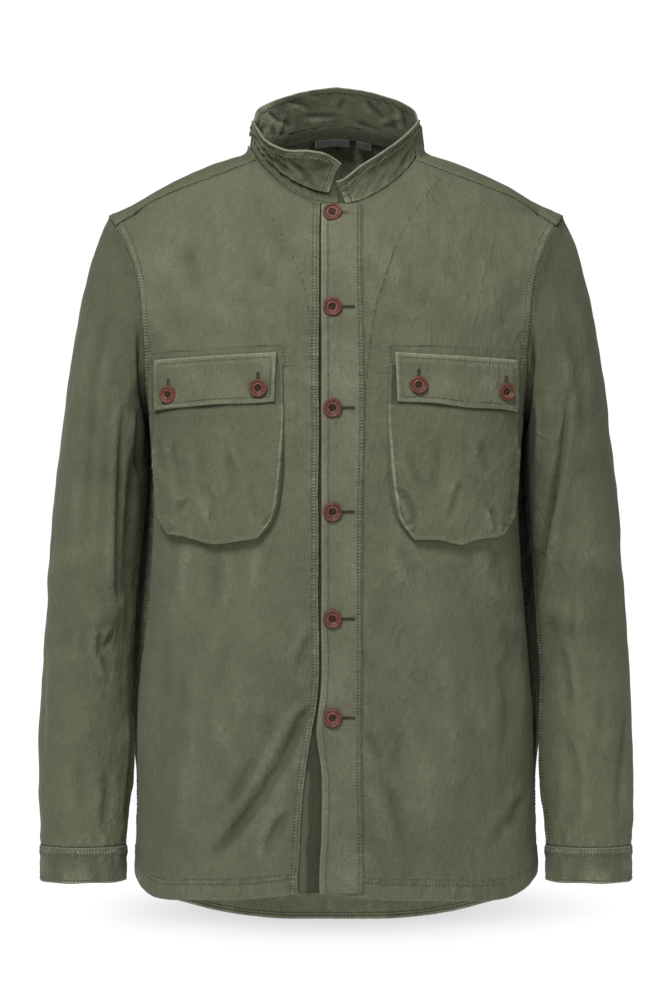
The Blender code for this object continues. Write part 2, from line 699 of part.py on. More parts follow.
def collar_points(angle, rise, inset):
    """Points above the neck seam: up by rise, in by inset, flaring with the square of the height."""
    ring = neck_ring(angle)
    turn = np.radians(angle)
    out = np.stack([np.sin(turn), np.cos(turn), np.zeros(turn.shape)], axis=-1)
    height = collar_height(angle)
    flare = curve(COLLAR, "flare", np.abs(angle)) * (rise / height) ** 2
    tuck = COLLAR_TUCK * ease((TUCK_FROM - angle) / TUCK_SPAN)
    lean = COLLAR_LEAN * np.sin(np.pi * np.clip(rise / height, 0, 1))
    behind = COLLAR_BEHIND * np.clip(-np.cos(turn), 0, 1)
    shift = flare - inset - tuck - lean - behind
    return ring + out * shift[..., None] + np.array([0.0, 0.0, 1.0]) * rise[..., None]


def collar_angles(left, right, clear=5.0):
    """Shared neckline angles between the two ends of the collar, clear of them by some degrees."""
    nodes = np.concatenate([-NECK_NODES[:0:-1], NECK_NODES])
    inner = nodes[(nodes > COLLAR_LEFT_END + clear) & (nodes < COLLAR_RIGHT_END - clear)]
    inner = np.broadcast_to(inner, (len(left), len(inner)))
    return np.concatenate([left, inner, right], axis=1)


def collar_stand():
    """Band that rises from the neckline inside the panels' edges; its left end runs on past the leaf's."""
    level = np.ones((2, 1))
    angle = collar_angles(COLLAR_LEFT_END * level, COLLAR_RIGHT_END * level)
    angle = np.concatenate([STAND_LEFT_END * level, angle], axis=1)
    rise = np.array([-SEAM, COLLAR_STAND])[:, None] * np.ones((1, angle.shape[1]))
    points = collar_points(angle, rise, COLLAR_INSET)
    return cloth("collar_stand", points, DOUBLE_WALL, "drill", flip=True)


def collar_leaf(rows=4):
    """Turned-up leaf on the stand; its two ends are cut at a slant and pass behind each other."""
    part = np.linspace(0, 1, rows)[:, None]
    left = COLLAR_LEFT_END - COLLAR_LEFT_SLANT * part
    right = COLLAR_RIGHT_END + COLLAR_RIGHT_SLANT * part
    angle = collar_angles(left, right)
    rise = COLLAR_STAND + SEAM + (collar_height(angle) - COLLAR_STAND - SEAM) * part
    points = collar_points(angle, rise, COLLAR_INSET)
    return cloth("collar_leaf", points, DOUBLE_WALL, "drill_worn", flip=True)


def label(name, x0, x1, columns=4):
    """Bare woven label at the back of the neck, inside."""
    x = np.linspace(x0, x1, columns)
    angle = np.degrees(np.arcsin(x / NECK_WIDTH))[None, :] * np.ones((2, 1))
    rise = np.array(LABEL_RISE)[:, None] * np.ones((1, columns))
    points = collar_points(angle, rise, COLLAR_INSET + DOUBLE_WALL + LABEL_LAY)
    return cloth(name, points, LABEL_THICK, "label", flip=True)


# ---------------------------------------------------------------- closure, pockets and buttons

def strip_levels(trim_top, trim_bottom):
    """Row heights of a front at its centre, for strips that run down it."""
    top = neck_ring(np.array([180.0]))[0, 2] - SEAM - trim_top
    ends = ARM_NODES[(ARM_NODES > FRONT_CORNER - 1) & (ARM_NODES < JOIN_ANGLE + 1)]
    ends = np.cos(np.radians(ends))
    blend = (ends - ends[0]) / (ends[-1] - ends[0])
    arms = ARM_MIDDLE + ARM_HALF * np.cos(np.radians(ARM_NODES[ARM_NODES > JOIN_ANGLE + 1]))
    lower = panel_levels(UNDERARM, HEM_LEVEL, FRONT_STEP)[1:]
    lower = hem_drop(lower, curve(HEM, "front", 0.0))
    lower[-1] += trim_bottom
    return np.concatenate([top + (JOIN - top) * blend, arms, lower])[:, None]


def placket(columns=4):
    """Folded strip on the left front's edge, laid on the panel."""
    z = strip_levels(trim_top=0.0015, trim_bottom=0.0004)
    x = -PLACKET_EDGE + PLACKET_WIDTH * np.linspace(0, 1, columns)[None, :]
    x, z = np.broadcast_arrays(x, z)
    inner = front_points(x, z, np.full(x.shape, LAY))
    outer = front_points(x, z, np.full(x.shape, LAY + DOUBLE_WALL))
    return slab("placket", inner, outer, "drill_worn")


def button_stand(columns=4):
    """Underlap of the right front: a strip just inside both fronts' edges."""
    z = strip_levels(trim_top=0.0040, trim_bottom=0.0015)
    tucked = curve(FRONT_EDGE, "x", z) + STAND_TUCK
    x = -tucked + (tucked + STAND_REACH) * np.linspace(0, 1, columns)[None, :]
    z = z + np.zeros(x.shape)
    inner = front_points(x, z, np.full(x.shape, -WALL - STAND_LAY - WALL))
    outer = front_points(x, z, np.full(x.shape, -WALL - STAND_LAY))
    return slab("button_stand", inner, outer, "drill")


ACROSS_NODES = (0.0, 0.02, 0.08, 0.20, 0.36, 0.50, 0.62, 0.72, 0.81, 0.89, 0.95, 0.98, 1.0)
DOWN_NODES = (0.0, 0.10, 0.22, 0.38, 0.54, 0.70, 0.84, 0.92, 0.98, 1.0)
FLAP_NODES = (0.0, 0.15, 0.30, 0.45, 0.58, 0.70, 0.79, 0.87, 0.94, 1.0)
FLAP_ROWS = (0.0, FLAP_SEWN, 0.6, 1.0)
POCKET_SHAPE = table("down inner_in outer_in", [
    (0.00, 0.000, 0.000), (0.35, -0.001, 0.002), (0.72, 0.001, 0.005),
    (0.88, 0.007, 0.009), (1.00, 0.022, 0.023),
])
"""How far a pocket's two sides draw in towards its rounded bottom."""


def pocket(name, sign):
    """Flat bellows pocket laid on a front: thick where its gusset is folded under.

    The thickness follows the distance from the nearest side or the bottom, in parts of the pocket's size,
    and that fold runs out towards the mouth.
    """
    across, down = np.meshgrid(ACROSS_NODES, DOWN_NODES, indexing="xy")
    inner_x = POCKET_INNER + curve(POCKET_SHAPE, "inner_in", down)
    outer_x = POCKET_OUTER - curve(POCKET_SHAPE, "outer_in", down)
    x = inner_x + (outer_x - inner_x) * across
    sag = POCKET_SAG * np.sin(np.pi * across) * down
    slope = POCKET_TILT * down - FLAP_SLOPE * (1 - down)
    z = POCKET_TOP + (POCKET_BOTTOM - POCKET_TOP) * down - sag + slope * across
    middle = POCKET_RELIEF["in_from_edge"][-1]
    from_edge = np.minimum(np.minimum(across, 1 - across), 1 - down)
    mouth = middle * (1 - ease(down / middle))
    lift = curve(POCKET_RELIEF, "lift", np.minimum(from_edge + mouth, middle))
    lift = np.where(from_edge < POCKET_RIM, POCKET_RELIEF["lift"][0], lift)
    lift = np.where(down < MOUTH_REACH, np.minimum(lift, MOUTH_RELIEF), lift)
    inner = front_points(sign * x, z, np.full(x.shape, POCKET_LAY))
    outer = front_points(sign * x, z, POCKET_LAY + lift)
    if sign < 0:
        inner = inner[:, ::-1]
        outer = outer[:, ::-1]
    return slab(name, inner, outer, "drill_worn")


def flap(name, sign):
    """Pocket flap: sewn to the front at its top, lying over the pocket's mouth below."""
    across, down = np.meshgrid(FLAP_NODES, FLAP_ROWS, indexing="xy")
    x = FLAP_INNER + FLAP_TAPER * down + (FLAP_OUTER - FLAP_INNER - FLAP_TAPER * down) * across
    z = FLAP_TOP + (FLAP_BOTTOM - FLAP_TOP) * down - (FLAP_SLOPE + FLAP_DROP * down) * across
    lift = LAY + FLAP_CLEARANCE * ease(down / FLAP_SEWN)
    inner = front_points(sign * x, z, lift)
    outer = front_points(sign * x, z, lift + DOUBLE_WALL)
    if sign < 0:
        inner = inner[:, ::-1]
        outer = outer[:, ::-1]
    return slab(name, inner, outer, "drill_worn")


BUTTON_PROFILE = table("radius height", [
    (0.00, 0.00), (0.86, 0.00), (1.00, 0.30), (1.00, 0.66),
    (0.88, 1.00), (0.70, 0.94), (0.58, 0.62), (0.00, 0.58),
])
"""Half section of a button, in parts of its radius and its thickness: flat back, rim, dished face."""


def button(name, size, x, z, lift):
    """Turned button laid on the surface at (x, z)."""
    sides = BUTTON_SIDES
    spot, above = front_points(np.full((2, 1), x), np.full((2, 1), z), np.array([[lift], [lift + 1]]))[:, 0]
    out = above - spot
    side = np.cross([0.0, 0.0, 1.0], out)
    side /= np.linalg.norm(side)
    up = np.cross(out, side)
    turn = np.arange(sides) * 2 * np.pi / sides
    radius = BUTTON_PROFILE["radius"][1:-1] * size / 2
    height = BUTTON_PROFILE["height"] * BUTTON_THICK
    ring = np.cos(turn)[:, None] * side + np.sin(turn)[:, None] * up
    rings = spot + radius[:, None, None] * ring + height[1:-1, None, None] * out
    points = np.concatenate([[spot], rings.reshape(-1, 3), [spot + height[-1] * out]])
    faces = grid_faces(len(radius), sides, 1, True)
    last = len(points) - 1
    for j in range(sides):
        k = (j + 1) % sides
        faces.append((0, 1 + k, 1 + j))
        faces.append((last, last - sides + j, last - sides + k))
    return add_object(name, points, faces, "corozo")


def buttons():
    """Front buttons on the placket, pocket buttons on the flaps."""
    for number, z in enumerate(FRONT_BUTTONS, 1):
        button(f"button_front_{number}", BUTTON_SIZE, BUTTON_LINE, z, LAY + DOUBLE_WALL + SEAM)
    flap_top = LAY + FLAP_CLEARANCE + DOUBLE_WALL
    for number, spot in enumerate(POCKET_BUTTONS, 1):
        button(f"button_pocket_{number}", POCKET_BUTTON_SIZE, spot["x"], spot["z"], flap_top + SEAM)


def clear_scene():
    """Start from an empty scene."""
    for old in list(bpy.data.objects):
        bpy.data.objects.remove(old, do_unlink=True)


def build():
    """All pieces of the jacket."""
    clear_scene()
    front("front_right", -1, lambda z: float(curve(FRONT_EDGE, "x", z)))
    front("front_left", 1, lambda z: -PLACKET_EDGE)
    back()
    yoke()
    sleeve("sleeve_right", -1)
    sleeve("sleeve_left", 1)
    cuff("cuff_right", -1)
    cuff("cuff_left", 1)
    collar_stand()
    collar_leaf()
    label("neck_label", -0.0225, 0.0145)
    label("size_label", 0.0215, 0.0375)
    placket()
    button_stand()
    pocket("pocket_right", -1)
    pocket("pocket_left", 1)
    flap("flap_right", -1)
    flap("flap_left", 1)
    buttons()


build()
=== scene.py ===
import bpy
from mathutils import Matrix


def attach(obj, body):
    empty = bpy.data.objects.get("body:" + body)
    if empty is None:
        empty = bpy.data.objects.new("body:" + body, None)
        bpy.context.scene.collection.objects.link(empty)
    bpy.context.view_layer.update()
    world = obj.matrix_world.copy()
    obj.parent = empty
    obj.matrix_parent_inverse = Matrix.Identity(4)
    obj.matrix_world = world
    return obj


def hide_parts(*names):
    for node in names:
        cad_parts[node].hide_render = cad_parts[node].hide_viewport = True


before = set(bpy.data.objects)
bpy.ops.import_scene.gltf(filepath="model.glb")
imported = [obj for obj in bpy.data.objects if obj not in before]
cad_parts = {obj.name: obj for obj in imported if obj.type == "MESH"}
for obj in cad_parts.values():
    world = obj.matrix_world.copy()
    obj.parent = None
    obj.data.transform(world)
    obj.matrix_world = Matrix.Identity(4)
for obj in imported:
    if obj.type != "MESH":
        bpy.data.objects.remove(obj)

"""Looks of the field jacket: fine cloth on the body's own surface, stitching, buttons, light and camera.

Frame: metres, +Z up, the jacket faces -Y, its own left side at +X, origin in the middle of the neck opening.
Each cloth piece is a grid of points worked out from the same body, sleeve and collar formulas as its solid,
lifted along its normals by folds, creases and seam bands, and thickened inwards.  Point attributes carry the
distances from its seams, so that the material can lay grooves, puckers and wear along them.
"""

import bpy
import numpy as np

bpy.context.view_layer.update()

# ---------------------------------------------------------------- sizes of the construction

WALL = 0.0014
DOUBLE_WALL = 0.0020
SEAM = 0.00006
LAY = 0.0006
POCKET_LAY = 0.0012

CHEST = -0.200
FALL_POWER = 2.2
ROUND_POWER = 1.6
SHOULDER_TIP = -0.067
UNDERARM = -0.265
ARMHOLE_DEPTH = 0.085
NECK_WIDTH = 0.087
NECK_FRONT = 0.090
NECK_BACK = 0.065
NECK_MIDDLE = 0.005
NECK_POINT = 0.079
RIDGE_NEAR_NECK = 0.058
YOKE_BACK = -0.085
FRONT_CORNER = 28.5
BACK_CORNER = 41.9
JOIN_ANGLE = 68.7
ARM_MIDDLE = (SHOULDER_TIP + UNDERARM) / 2
ARM_HALF = (SHOULDER_TIP - UNDERARM) / 2
JOIN = ARM_MIDDLE + ARM_HALF * np.cos(np.radians(JOIN_ANGLE))
NECK_CORNER = 180.0 - np.degrees(np.arcsin(NECK_POINT / NECK_WIDTH))

PLACKET_EDGE = 0.0140
PLACKET_WIDTH = 0.0400
PLACKET_TRIM = (0.0015, 0.0004)
STAND_TRIM = (0.0040, 0.0015)
"""How much shorter than the front the strips are at its neck and at its hem."""
STAND_TUCK = 0.0100
STAND_LAY = 0.0009
STAND_REACH = 0.0120
STAND_SHADE = -0.0290
# Where the underlap's painted shade begins, darkening it towards the placket.
"""Where the underlap darkens towards the placket."""

COLLAR_STAND = 0.0135
STAND_LEFT_END = -181.5
COLLAR_LEFT_END = -175.0
COLLAR_RIGHT_END = 173.5
COLLAR_LEFT_SLANT = 8.5
COLLAR_RIGHT_SLANT = 6.5
COLLAR_INSET = 0.0006
COLLAR_TUCK = 0.0040
TUCK_FROM = -146.0
TUCK_SPAN = 26.0
COLLAR_LEAN = 0.0020
COLLAR_ROLL = 0.0090
COLLAR_BEHIND = 0.0016
LEAF_OUT = 0.0026
LEAF_HANGS_RIGHT = 0.0015
LEAF_HANGS_LEFT = 0.0120
LABELS = (("neck_label", -0.0225, 0.0145), ("size_label", 0.0215, 0.0375))
"""Node and the two sides of each label."""
LABEL_RISE = (-0.0082, -0.0002)
LABEL_LAY = 0.0009
LABEL_WALL = 0.0008

CUFF_TOP = -0.6925
CUFF_BOTTOM = -0.7275
CUFF_GROW = (1.010, 1.022)

BUTTON_SIZE = 0.0188
POCKET_BUTTON_SIZE = 0.0178
BUTTON_THICK = 0.0032
FRONT_BUTTONS = (-0.0709, -0.1633, -0.2611, -0.3617, -0.4653, -0.5612)
BUTTON_LINE = -0.0034
BUTTON_FACING = (0.45, 0.55)
"""Shares of the cloth's normal and of straight forward in the way a button faces."""

SWELL_DEPTH = 0.10
HEM_LEVEL = -0.716
HEM_START = -0.385
SLEEVE_START = 0.0002
SLEEVE_SPACING = 1.08
LOOP_REACH = 0.22
FOLD_LEAN = 0.05
CORNER_AT = 0.914
BACK_CORNER_PART = 0.95
FOLD_RUN_OUT = 0.15
FOLD_FADE = 0.35

POCKET_INNER = 0.0515
POCKET_OUTER = 0.1775
POCKET_TOP = -0.2190
POCKET_BOTTOM = -0.3880
POCKET_SAG = 0.006
POCKET_TILT = 0.004
MOUTH_REACH = 0.30
MOUTH_RELIEF = 0.0035
POCKET_FULL = 0.0062
POCKET_MIDDLE = 0.0042
GUSSET_TOP = 0.0008
GUSSET_SIDE = 0.0050
GUSSET_BOTTOM = 0.0008
UNDERCUT = 0.0032
EDGE_RIDGE = 0.0009
POCKET_WALL = 0.0008
FLAP_INNER = 0.0575
FLAP_OUTER = 0.1785
FLAP_TOP = -0.2070
FLAP_BOTTOM = -0.2545
FLAP_SLOPE = 0.006
FLAP_DROP = 0.003
FLAP_TAPER = 0.002
FLAP_SEWN = 0.2
FLAP_CLEARANCE = 0.0049


def table(columns, rows):
    """Rows of numbers with a name for each column."""
    return np.array([tuple(row) for row in rows], dtype=[(name, "f8") for name in columns.split()])


SILHOUETTE = table("z side", [
    (-0.800, 0.2010), (-0.715, 0.2005), (-0.655, 0.1985), (-0.625, 0.1975), (-0.545, 0.1955),
    (-0.500, 0.1910), (-0.470, 0.1880), (-0.410, 0.1835), (-0.350, 0.1815), (-0.300, 0.1840),
    (-0.265, 0.1860), (-0.235, 0.1870), (-0.202, 0.1880), (-0.179, 0.1900), (-0.135, 0.1945),
    (-0.109, 0.2025), (-0.084, 0.2150), (-0.067, 0.2270), (-0.040, 0.2460), (0.030, 0.2950),
])
DEPTH = table("z front back round_x corner", [
    (-0.800, 0.130, 0.136, 2.4, 0.066),
    (-0.720, 0.131, 0.135, 2.4, 0.067),
    (-0.600, 0.131, 0.129, 2.5, 0.070),
    (-0.450, 0.133, 0.125, 2.6, 0.076),
    (-0.350, 0.136, 0.127, 2.7, 0.085),
    (-0.265, 0.137, 0.130, 2.8, 0.092),
    (-0.200, 0.135, 0.130, 2.7, 0.093),
    (0.030, 0.135, 0.130, 2.6, 0.093),
])
RIDGE = table("x z", [
    (0.000, 0.020), (0.045, 0.015), (0.091, 0.003), (0.1285, -0.010), (0.1635, -0.025),
    (0.1945, -0.040), (0.2175, -0.055), (0.227, -0.067), (0.260, -0.110),
])
YOKE_FRONT = table("x z", [
    (0.0790, -0.0135), (0.1155, -0.0277), (0.1570, -0.0426), (0.1860, -0.0555), (0.2030, -0.0674),
    (0.2185, -0.0790),
])
BACK_FULLNESS = table("z out", [
    (-0.800, 0.000), (-0.665, 0.000), (-0.640, 0.004), (-0.600, 0.011), (-0.560, 0.017), (-0.500, 0.021),
    (-0.420, 0.021), (-0.340, 0.0135), (-0.300, 0.0075), (-0.280, 0.005), (-0.265, 0.001), (-0.060, 0.000),
])
HEM = table("along front back", [
    (0.00, -0.7325, -0.7820), (0.25, -0.7385, -0.7805), (0.45, -0.7400, -0.7720), (0.60, -0.7412, -0.7610),
    (0.68, -0.7394, -0.7553), (0.75, -0.7345, -0.7490), (0.87, -0.7235, -0.7350), (1.00, -0.7150, -0.7150),
])
FRONT_EDGE = table("z x", [
    (-0.800, 0.0385), (-0.7325, 0.0382), (-0.670, 0.0353), (-0.616, 0.0315), (-0.568, 0.0240),
    (-0.530, 0.0176), (-0.480, 0.0166), (-0.440, 0.0175), (-0.400, 0.0167), (-0.340, 0.0174), (-0.290, 0.0164),
    (-0.230, 0.0171), (-0.170, 0.0163), (-0.110, 0.0166), (0.000, 0.0160),
])
FOLDS_FRONT = table("x0 z0 x1 z1 width height", [
    (-0.062, -0.560, -0.120, -0.690, 0.016, -0.0050),
    (-0.080, -0.520, -0.150, -0.640, 0.020, 0.0040),
    (-0.110, -0.410, -0.165, -0.560, 0.018, -0.0040),
    (0.050, -0.560, 0.085, -0.720, 0.018, -0.0045),
    (0.075, -0.430, 0.150, -0.600, 0.022, 0.0035),
    (0.120, -0.420, 0.172, -0.540, 0.016, -0.0040),
])
FOLDS_BACK = table("x0 z0 x1 z1 width height", [
    (-0.150, -0.180, -0.120, -0.420, 0.022, -0.0050),
    (0.150, -0.180, 0.115, -0.440, 0.022, -0.0050),
    (-0.060, -0.420, -0.090, -0.720, 0.024, 0.0045),
    (0.050, -0.450, 0.080, -0.740, 0.026, 0.0040),
    (-0.010, -0.500, 0.015, -0.760, 0.020, -0.0040),
])
SLEEVE_COURSE = table("along outer_z inner_z depth middle", [
    (0.00, -0.067, -0.265, 0.085, 0.000),
    (0.08, -0.108, -0.292, 0.084, -0.001),
    (0.20, -0.190, -0.332, 0.080, -0.003),
    (0.35, -0.300, -0.388, 0.073, -0.006),
    (0.50, -0.400, -0.445, 0.067, -0.010),
    (0.65, -0.490, -0.512, 0.061, -0.014),
    (0.82, -0.590, -0.596, 0.053, -0.019),
    (1.00, -0.6925, -0.6925, 0.043, -0.023),
])
SLEEVE_OUTER = table("z x", [
    (-0.7280, 0.2955), (-0.7150, 0.2950), (-0.6850, 0.2935), (-0.6550, 0.2955), (-0.6100, 0.2955),
    (-0.5500, 0.2935), (-0.4900, 0.2905), (-0.4300, 0.2865), (-0.3700, 0.2825), (-0.3100, 0.2765),
    (-0.2500, 0.2695), (-0.2200, 0.2655), (-0.1900, 0.2605), (-0.1600, 0.2555), (-0.1300, 0.2490),
    (-0.1000, 0.2405), (-0.0850, 0.2350), (-0.0670, 0.2270),
])
SLEEVE_INNER = table("z x", [
    (-0.7280, 0.2095), (-0.6850, 0.2085), (-0.6250, 0.2030), (-0.5050, 0.2030), (-0.4720, 0.2005),
    (-0.4230, 0.1975), (-0.3700, 0.1915), (-0.3210, 0.1880), (-0.2900, 0.1885), (-0.2650, 0.1870),
])
FOLDS_SLEEVE = table("along around width_along width_around height", [
    (0.30, 1.10, 0.030, 0.45, -0.0040),
    (0.42, 5.20, 0.026, 0.60, -0.0050),
    (0.50, 1.00, 0.026, 0.60, -0.0045),
    (0.57, 1.90, 0.026, 0.55, -0.0045),
    (0.63, 1.10, 0.030, 0.60, 0.0030),
    (0.80, 1.40, 0.030, 0.50, -0.0035),
    (0.88, 4.60, 0.028, 0.55, -0.0035),
])
COLLAR = table("angle rise_right rise_left flare", [
    (0.0, 0.0520, 0.0520, 0.0050),
    (30.0, 0.0510, 0.0510, 0.0040),
    (50.0, 0.0480, 0.0480, 0.0025),
    (62.0, 0.0410, 0.0420, 0.0038),
    (72.0, 0.0310, 0.0315, 0.0006),
    (82.0, 0.0265, 0.0265, -0.0015),
    (95.0, 0.0265, 0.0255, -0.0018),
    (115.0, 0.0310, 0.0285, 0.0012),
    (135.0, 0.0360, 0.0340, 0.0045),
    (150.0, 0.0370, 0.0390, 0.0060),
    (165.0, 0.0330, 0.0478, 0.0070),
    (176.0, 0.0230, 0.0468, 0.0070),
    (185.0, 0.0200, 0.0370, 0.0060),
])
POCKET_BUTTONS = table("x z", [
    (-0.1590, -0.2475), (-0.0745, -0.2425), (0.0790, -0.2395), (0.1610, -0.2450),
])
POCKET_SHAPE = table("down inner_in outer_in", [
    (0.00, 0.000, 0.000), (0.35, -0.001, 0.002), (0.72, 0.001, 0.005),
    (0.88, 0.007, 0.008), (1.00, 0.022, 0.018),
])

# ---------------------------------------------------------------- sizes of the finish

CREASE = "x0 z0 x1 z1 bow width height lip"
CREASES_FRONT = table(CREASE, [
    (-0.031, -0.562, -0.120, -0.697, -0.006, 0.0075, -0.0042, 0.45),
    (-0.022, -0.548, -0.048, -0.592, 0.003, 0.0050, -0.0022, 0.50),
    (-0.043, -0.650, -0.068, -0.699, 0.004, 0.0055, -0.0024, 0.60),
    (-0.021, -0.478, -0.038, -0.518, 0.002, 0.0050, -0.0018, 0.40),
    (-0.075, -0.600, -0.105, -0.660, 0.004, 0.0060, -0.0014, 0.50),
    (-0.146, -0.398, -0.150, -0.452, 0.002, 0.0065, 0.0013, 0.30),
    (-0.104, -0.400, -0.112, -0.462, -0.002, 0.0080, 0.0011, 0.30),
    (-0.074, -0.395, -0.080, -0.440, 0.002, 0.0070, 0.0010, 0.20),
    (-0.165, -0.470, -0.172, -0.640, 0.006, 0.0100, -0.0020, 0.50),
    (-0.140, -0.520, -0.158, -0.700, -0.006, 0.0120, 0.0016, 0.30),
    (-0.176, -0.126, -0.146, -0.196, 0.005, 0.0110, -0.0013, 0.40),
    (-0.150, -0.096, -0.128, -0.150, 0.004, 0.0130, -0.0009, 0.30),
    (-0.090, -0.470, -0.128, -0.545, 0.004, 0.0110, -0.0010, 0.40),
    (0.062, -0.392, 0.083, -0.428, 0.002, 0.0070, -0.0013, 0.40),
    (0.157, -0.392, 0.170, -0.452, 0.003, 0.0075, -0.0016, 0.40),
    (0.172, -0.470, 0.163, -0.600, -0.005, 0.0100, -0.0018, 0.50),
    (0.030, -0.570, 0.046, -0.604, 0.002, 0.0050, -0.0014, 0.40),
    (0.044, -0.620, 0.070, -0.690, -0.004, 0.0075, -0.0018, 0.50),
    (0.186, -0.636, 0.172, -0.674, 0.003, 0.0060, -0.0018, 0.50),
    (0.168, -0.655, 0.150, -0.690, -0.003, 0.0070, -0.0013, 0.40),
    (0.104, -0.500, 0.118, -0.600, 0.006, 0.0120, 0.0012, 0.30),
    (0.132, -0.560, 0.124, -0.650, -0.004, 0.0100, -0.0010, 0.30),
    (0.178, -0.130, 0.150, -0.190, -0.004, 0.0120, -0.0012, 0.40),
    (0.006, -0.660, 0.017, -0.684, 0.000, 0.0045, -0.0008, 0.50),
])
"""Creases of the fronts: two ends, how far the line bows, half width, height (a trough is negative), and
how high a lip stands beside it."""
CREASES_BACK = table(CREASE, [
    (-0.165, -0.120, -0.140, -0.260, 0.010, 0.0120, -0.0026, 0.50),
    (0.168, -0.125, 0.138, -0.275, -0.010, 0.0120, -0.0024, 0.50),
    (-0.120, -0.200, -0.105, -0.330, -0.005, 0.0110, 0.0016, 0.40),
    (0.104, -0.190, 0.092, -0.350, 0.006, 0.0120, 0.0017, 0.30),
    (-0.175, -0.330, -0.140, -0.410, -0.006, 0.0070, -0.0022, 0.60),
    (-0.165, -0.360, -0.110, -0.395, 0.005, 0.0070, -0.0016, 0.50),
    (0.176, -0.345, 0.132, -0.400, 0.006, 0.0070, -0.0022, 0.60),
    (0.150, -0.420, 0.098, -0.452, -0.004, 0.0075, -0.0015, 0.50),
    (-0.040, -0.400, -0.062, -0.560, 0.008, 0.0100, -0.0018, 0.50),
    (0.028, -0.380, 0.046, -0.540, -0.006, 0.0110, 0.0015, 0.30),
    (-0.125, -0.500, -0.140, -0.700, 0.010, 0.0120, -0.0022, 0.50),
    (0.120, -0.520, 0.150, -0.710, -0.008, 0.0120, -0.0024, 0.50),
    (0.005, -0.560, 0.022, -0.740, 0.006, 0.0110, 0.0016, 0.40),
    (-0.070, -0.600, -0.060, -0.750, -0.004, 0.0100, -0.0016, 0.40),
    (0.075, -0.610, 0.062, -0.745, 0.005, 0.0100, -0.0014, 0.40),
    (-0.030, -0.100, -0.026, -0.230, 0.004, 0.0150, -0.0012, 0.30),
    (0.034, -0.105, 0.030, -0.215, -0.004, 0.0150, -0.0011, 0.30),
])
CREASES_POCKET = table(CREASE, [
    (-0.168, -0.277, -0.158, -0.332, 0.003, 0.0042, -0.0013, 0.50),
    (-0.154, -0.290, -0.146, -0.350, 0.003, 0.0050, -0.0012, 0.40),
    (-0.141, -0.348, -0.152, -0.366, 0.001, 0.0035, -0.0007, 0.50),
    (-0.128, -0.290, -0.116, -0.372, 0.004, 0.0055, -0.0010, 0.50),
    (-0.106, -0.300, -0.096, -0.350, -0.002, 0.0055, -0.0009, 0.40),
    (-0.118, -0.345, -0.114, -0.378, 0.001, 0.0040, -0.0008, 0.40),
    (-0.080, -0.330, -0.074, -0.370, 0.002, 0.0045, -0.0008, 0.40),
    (-0.092, -0.282, -0.086, -0.320, 0.002, 0.0050, -0.0007, 0.40),
    (-0.168, -0.370, -0.153, -0.383, 0.002, 0.0026, -0.0013, 0.80),
    (-0.162, -0.362, -0.150, -0.377, 0.002, 0.0028, 0.0008, 0.30),
    (-0.070, -0.376, -0.060, -0.366, 0.000, 0.0024, -0.0009, 0.60),
    (0.056, -0.338, 0.077, -0.378, -0.006, 0.0036, -0.0014, 0.80),
    (0.064, -0.374, 0.075, -0.370, 0.001, 0.0022, -0.0007, 0.60),
    (0.070, -0.300, 0.092, -0.345, 0.004, 0.0050, -0.0009, 0.40),
    (0.098, -0.290, 0.092, -0.350, -0.003, 0.0060, -0.0009, 0.40),
    (0.121, -0.330, 0.111, -0.372, 0.002, 0.0045, -0.0010, 0.50),
    (0.146, -0.356, 0.151, -0.384, -0.003, 0.0034, -0.0010, 0.60),
    (0.158, -0.372, 0.164, -0.379, 0.001, 0.0024, -0.0009, 0.80),
    (0.140, -0.290, 0.152, -0.330, 0.003, 0.0050, -0.0010, 0.40),
    (0.122, -0.276, 0.130, -0.312, 0.002, 0.0050, -0.0008, 0.40),
])
CREASES_SLEEVE_RIGHT = table("along0 around0 along1 around1 bow width height lip", [
    (0.16, 110.0, 0.56, 133.0, 0.000, 0.0065, 0.0034, 0.60),
    (0.14, 132.0, 0.60, 150.0, 0.000, 0.0110, 0.0032, 0.20),
    (0.22, 76.0, 0.50, 84.0, 0.004, 0.0090, 0.0012, 0.40),
    (0.600, 112.0, 0.650, 112.0, 0.003, 0.0040, 0.0022, 0.70),
    (0.590, 128.0, 0.635, 116.0, 0.001, 0.0038, 0.0022, 0.70),
    (0.610, 88.0, 0.655, 92.0, 0.004, 0.0045, 0.0011, 0.60),
    (0.645, 112.0, 0.685, 128.0, 0.001, 0.0042, 0.0022, 0.70),
    (0.84, 88.0, 0.95, 96.0, 0.004, 0.0070, 0.0012, 0.40),
    (0.86, 118.0, 0.97, 122.0, -0.003, 0.0060, 0.0014, 0.40),
    (0.10, 60.0, 0.30, 74.0, 0.005, 0.0110, 0.0016, 0.40),
    (0.10, 130.0, 0.22, 150.0, 0.003, 0.0080, 0.0024, 0.50),
    (0.55, 230.0, 0.62, 262.0, 0.003, 0.0070, 0.0030, 0.60),
    (0.61, 222.0, 0.66, 280.0, -0.003, 0.0070, 0.0030, 0.60),
    (0.68, 235.0, 0.72, 290.0, 0.003, 0.0070, 0.0022, 0.50),
    (0.20, 250.0, 0.48, 262.0, 0.005, 0.0110, 0.0022, 0.40),
    (0.82, 255.0, 0.95, 248.0, 0.003, 0.0080, 0.0016, 0.40),
    (0.30, 340.0, 0.60, 352.0, 0.004, 0.0110, 0.0016, 0.40),
    (0.66, 20.0, 0.86, 30.0, 0.004, 0.0090, 0.0014, 0.40),
])
"""Creases of the right sleeve: two ends as part of its length and degrees round it, 90 at the front and 180
at its inner line, then bow, half width, depth (positive goes in) and lip."""
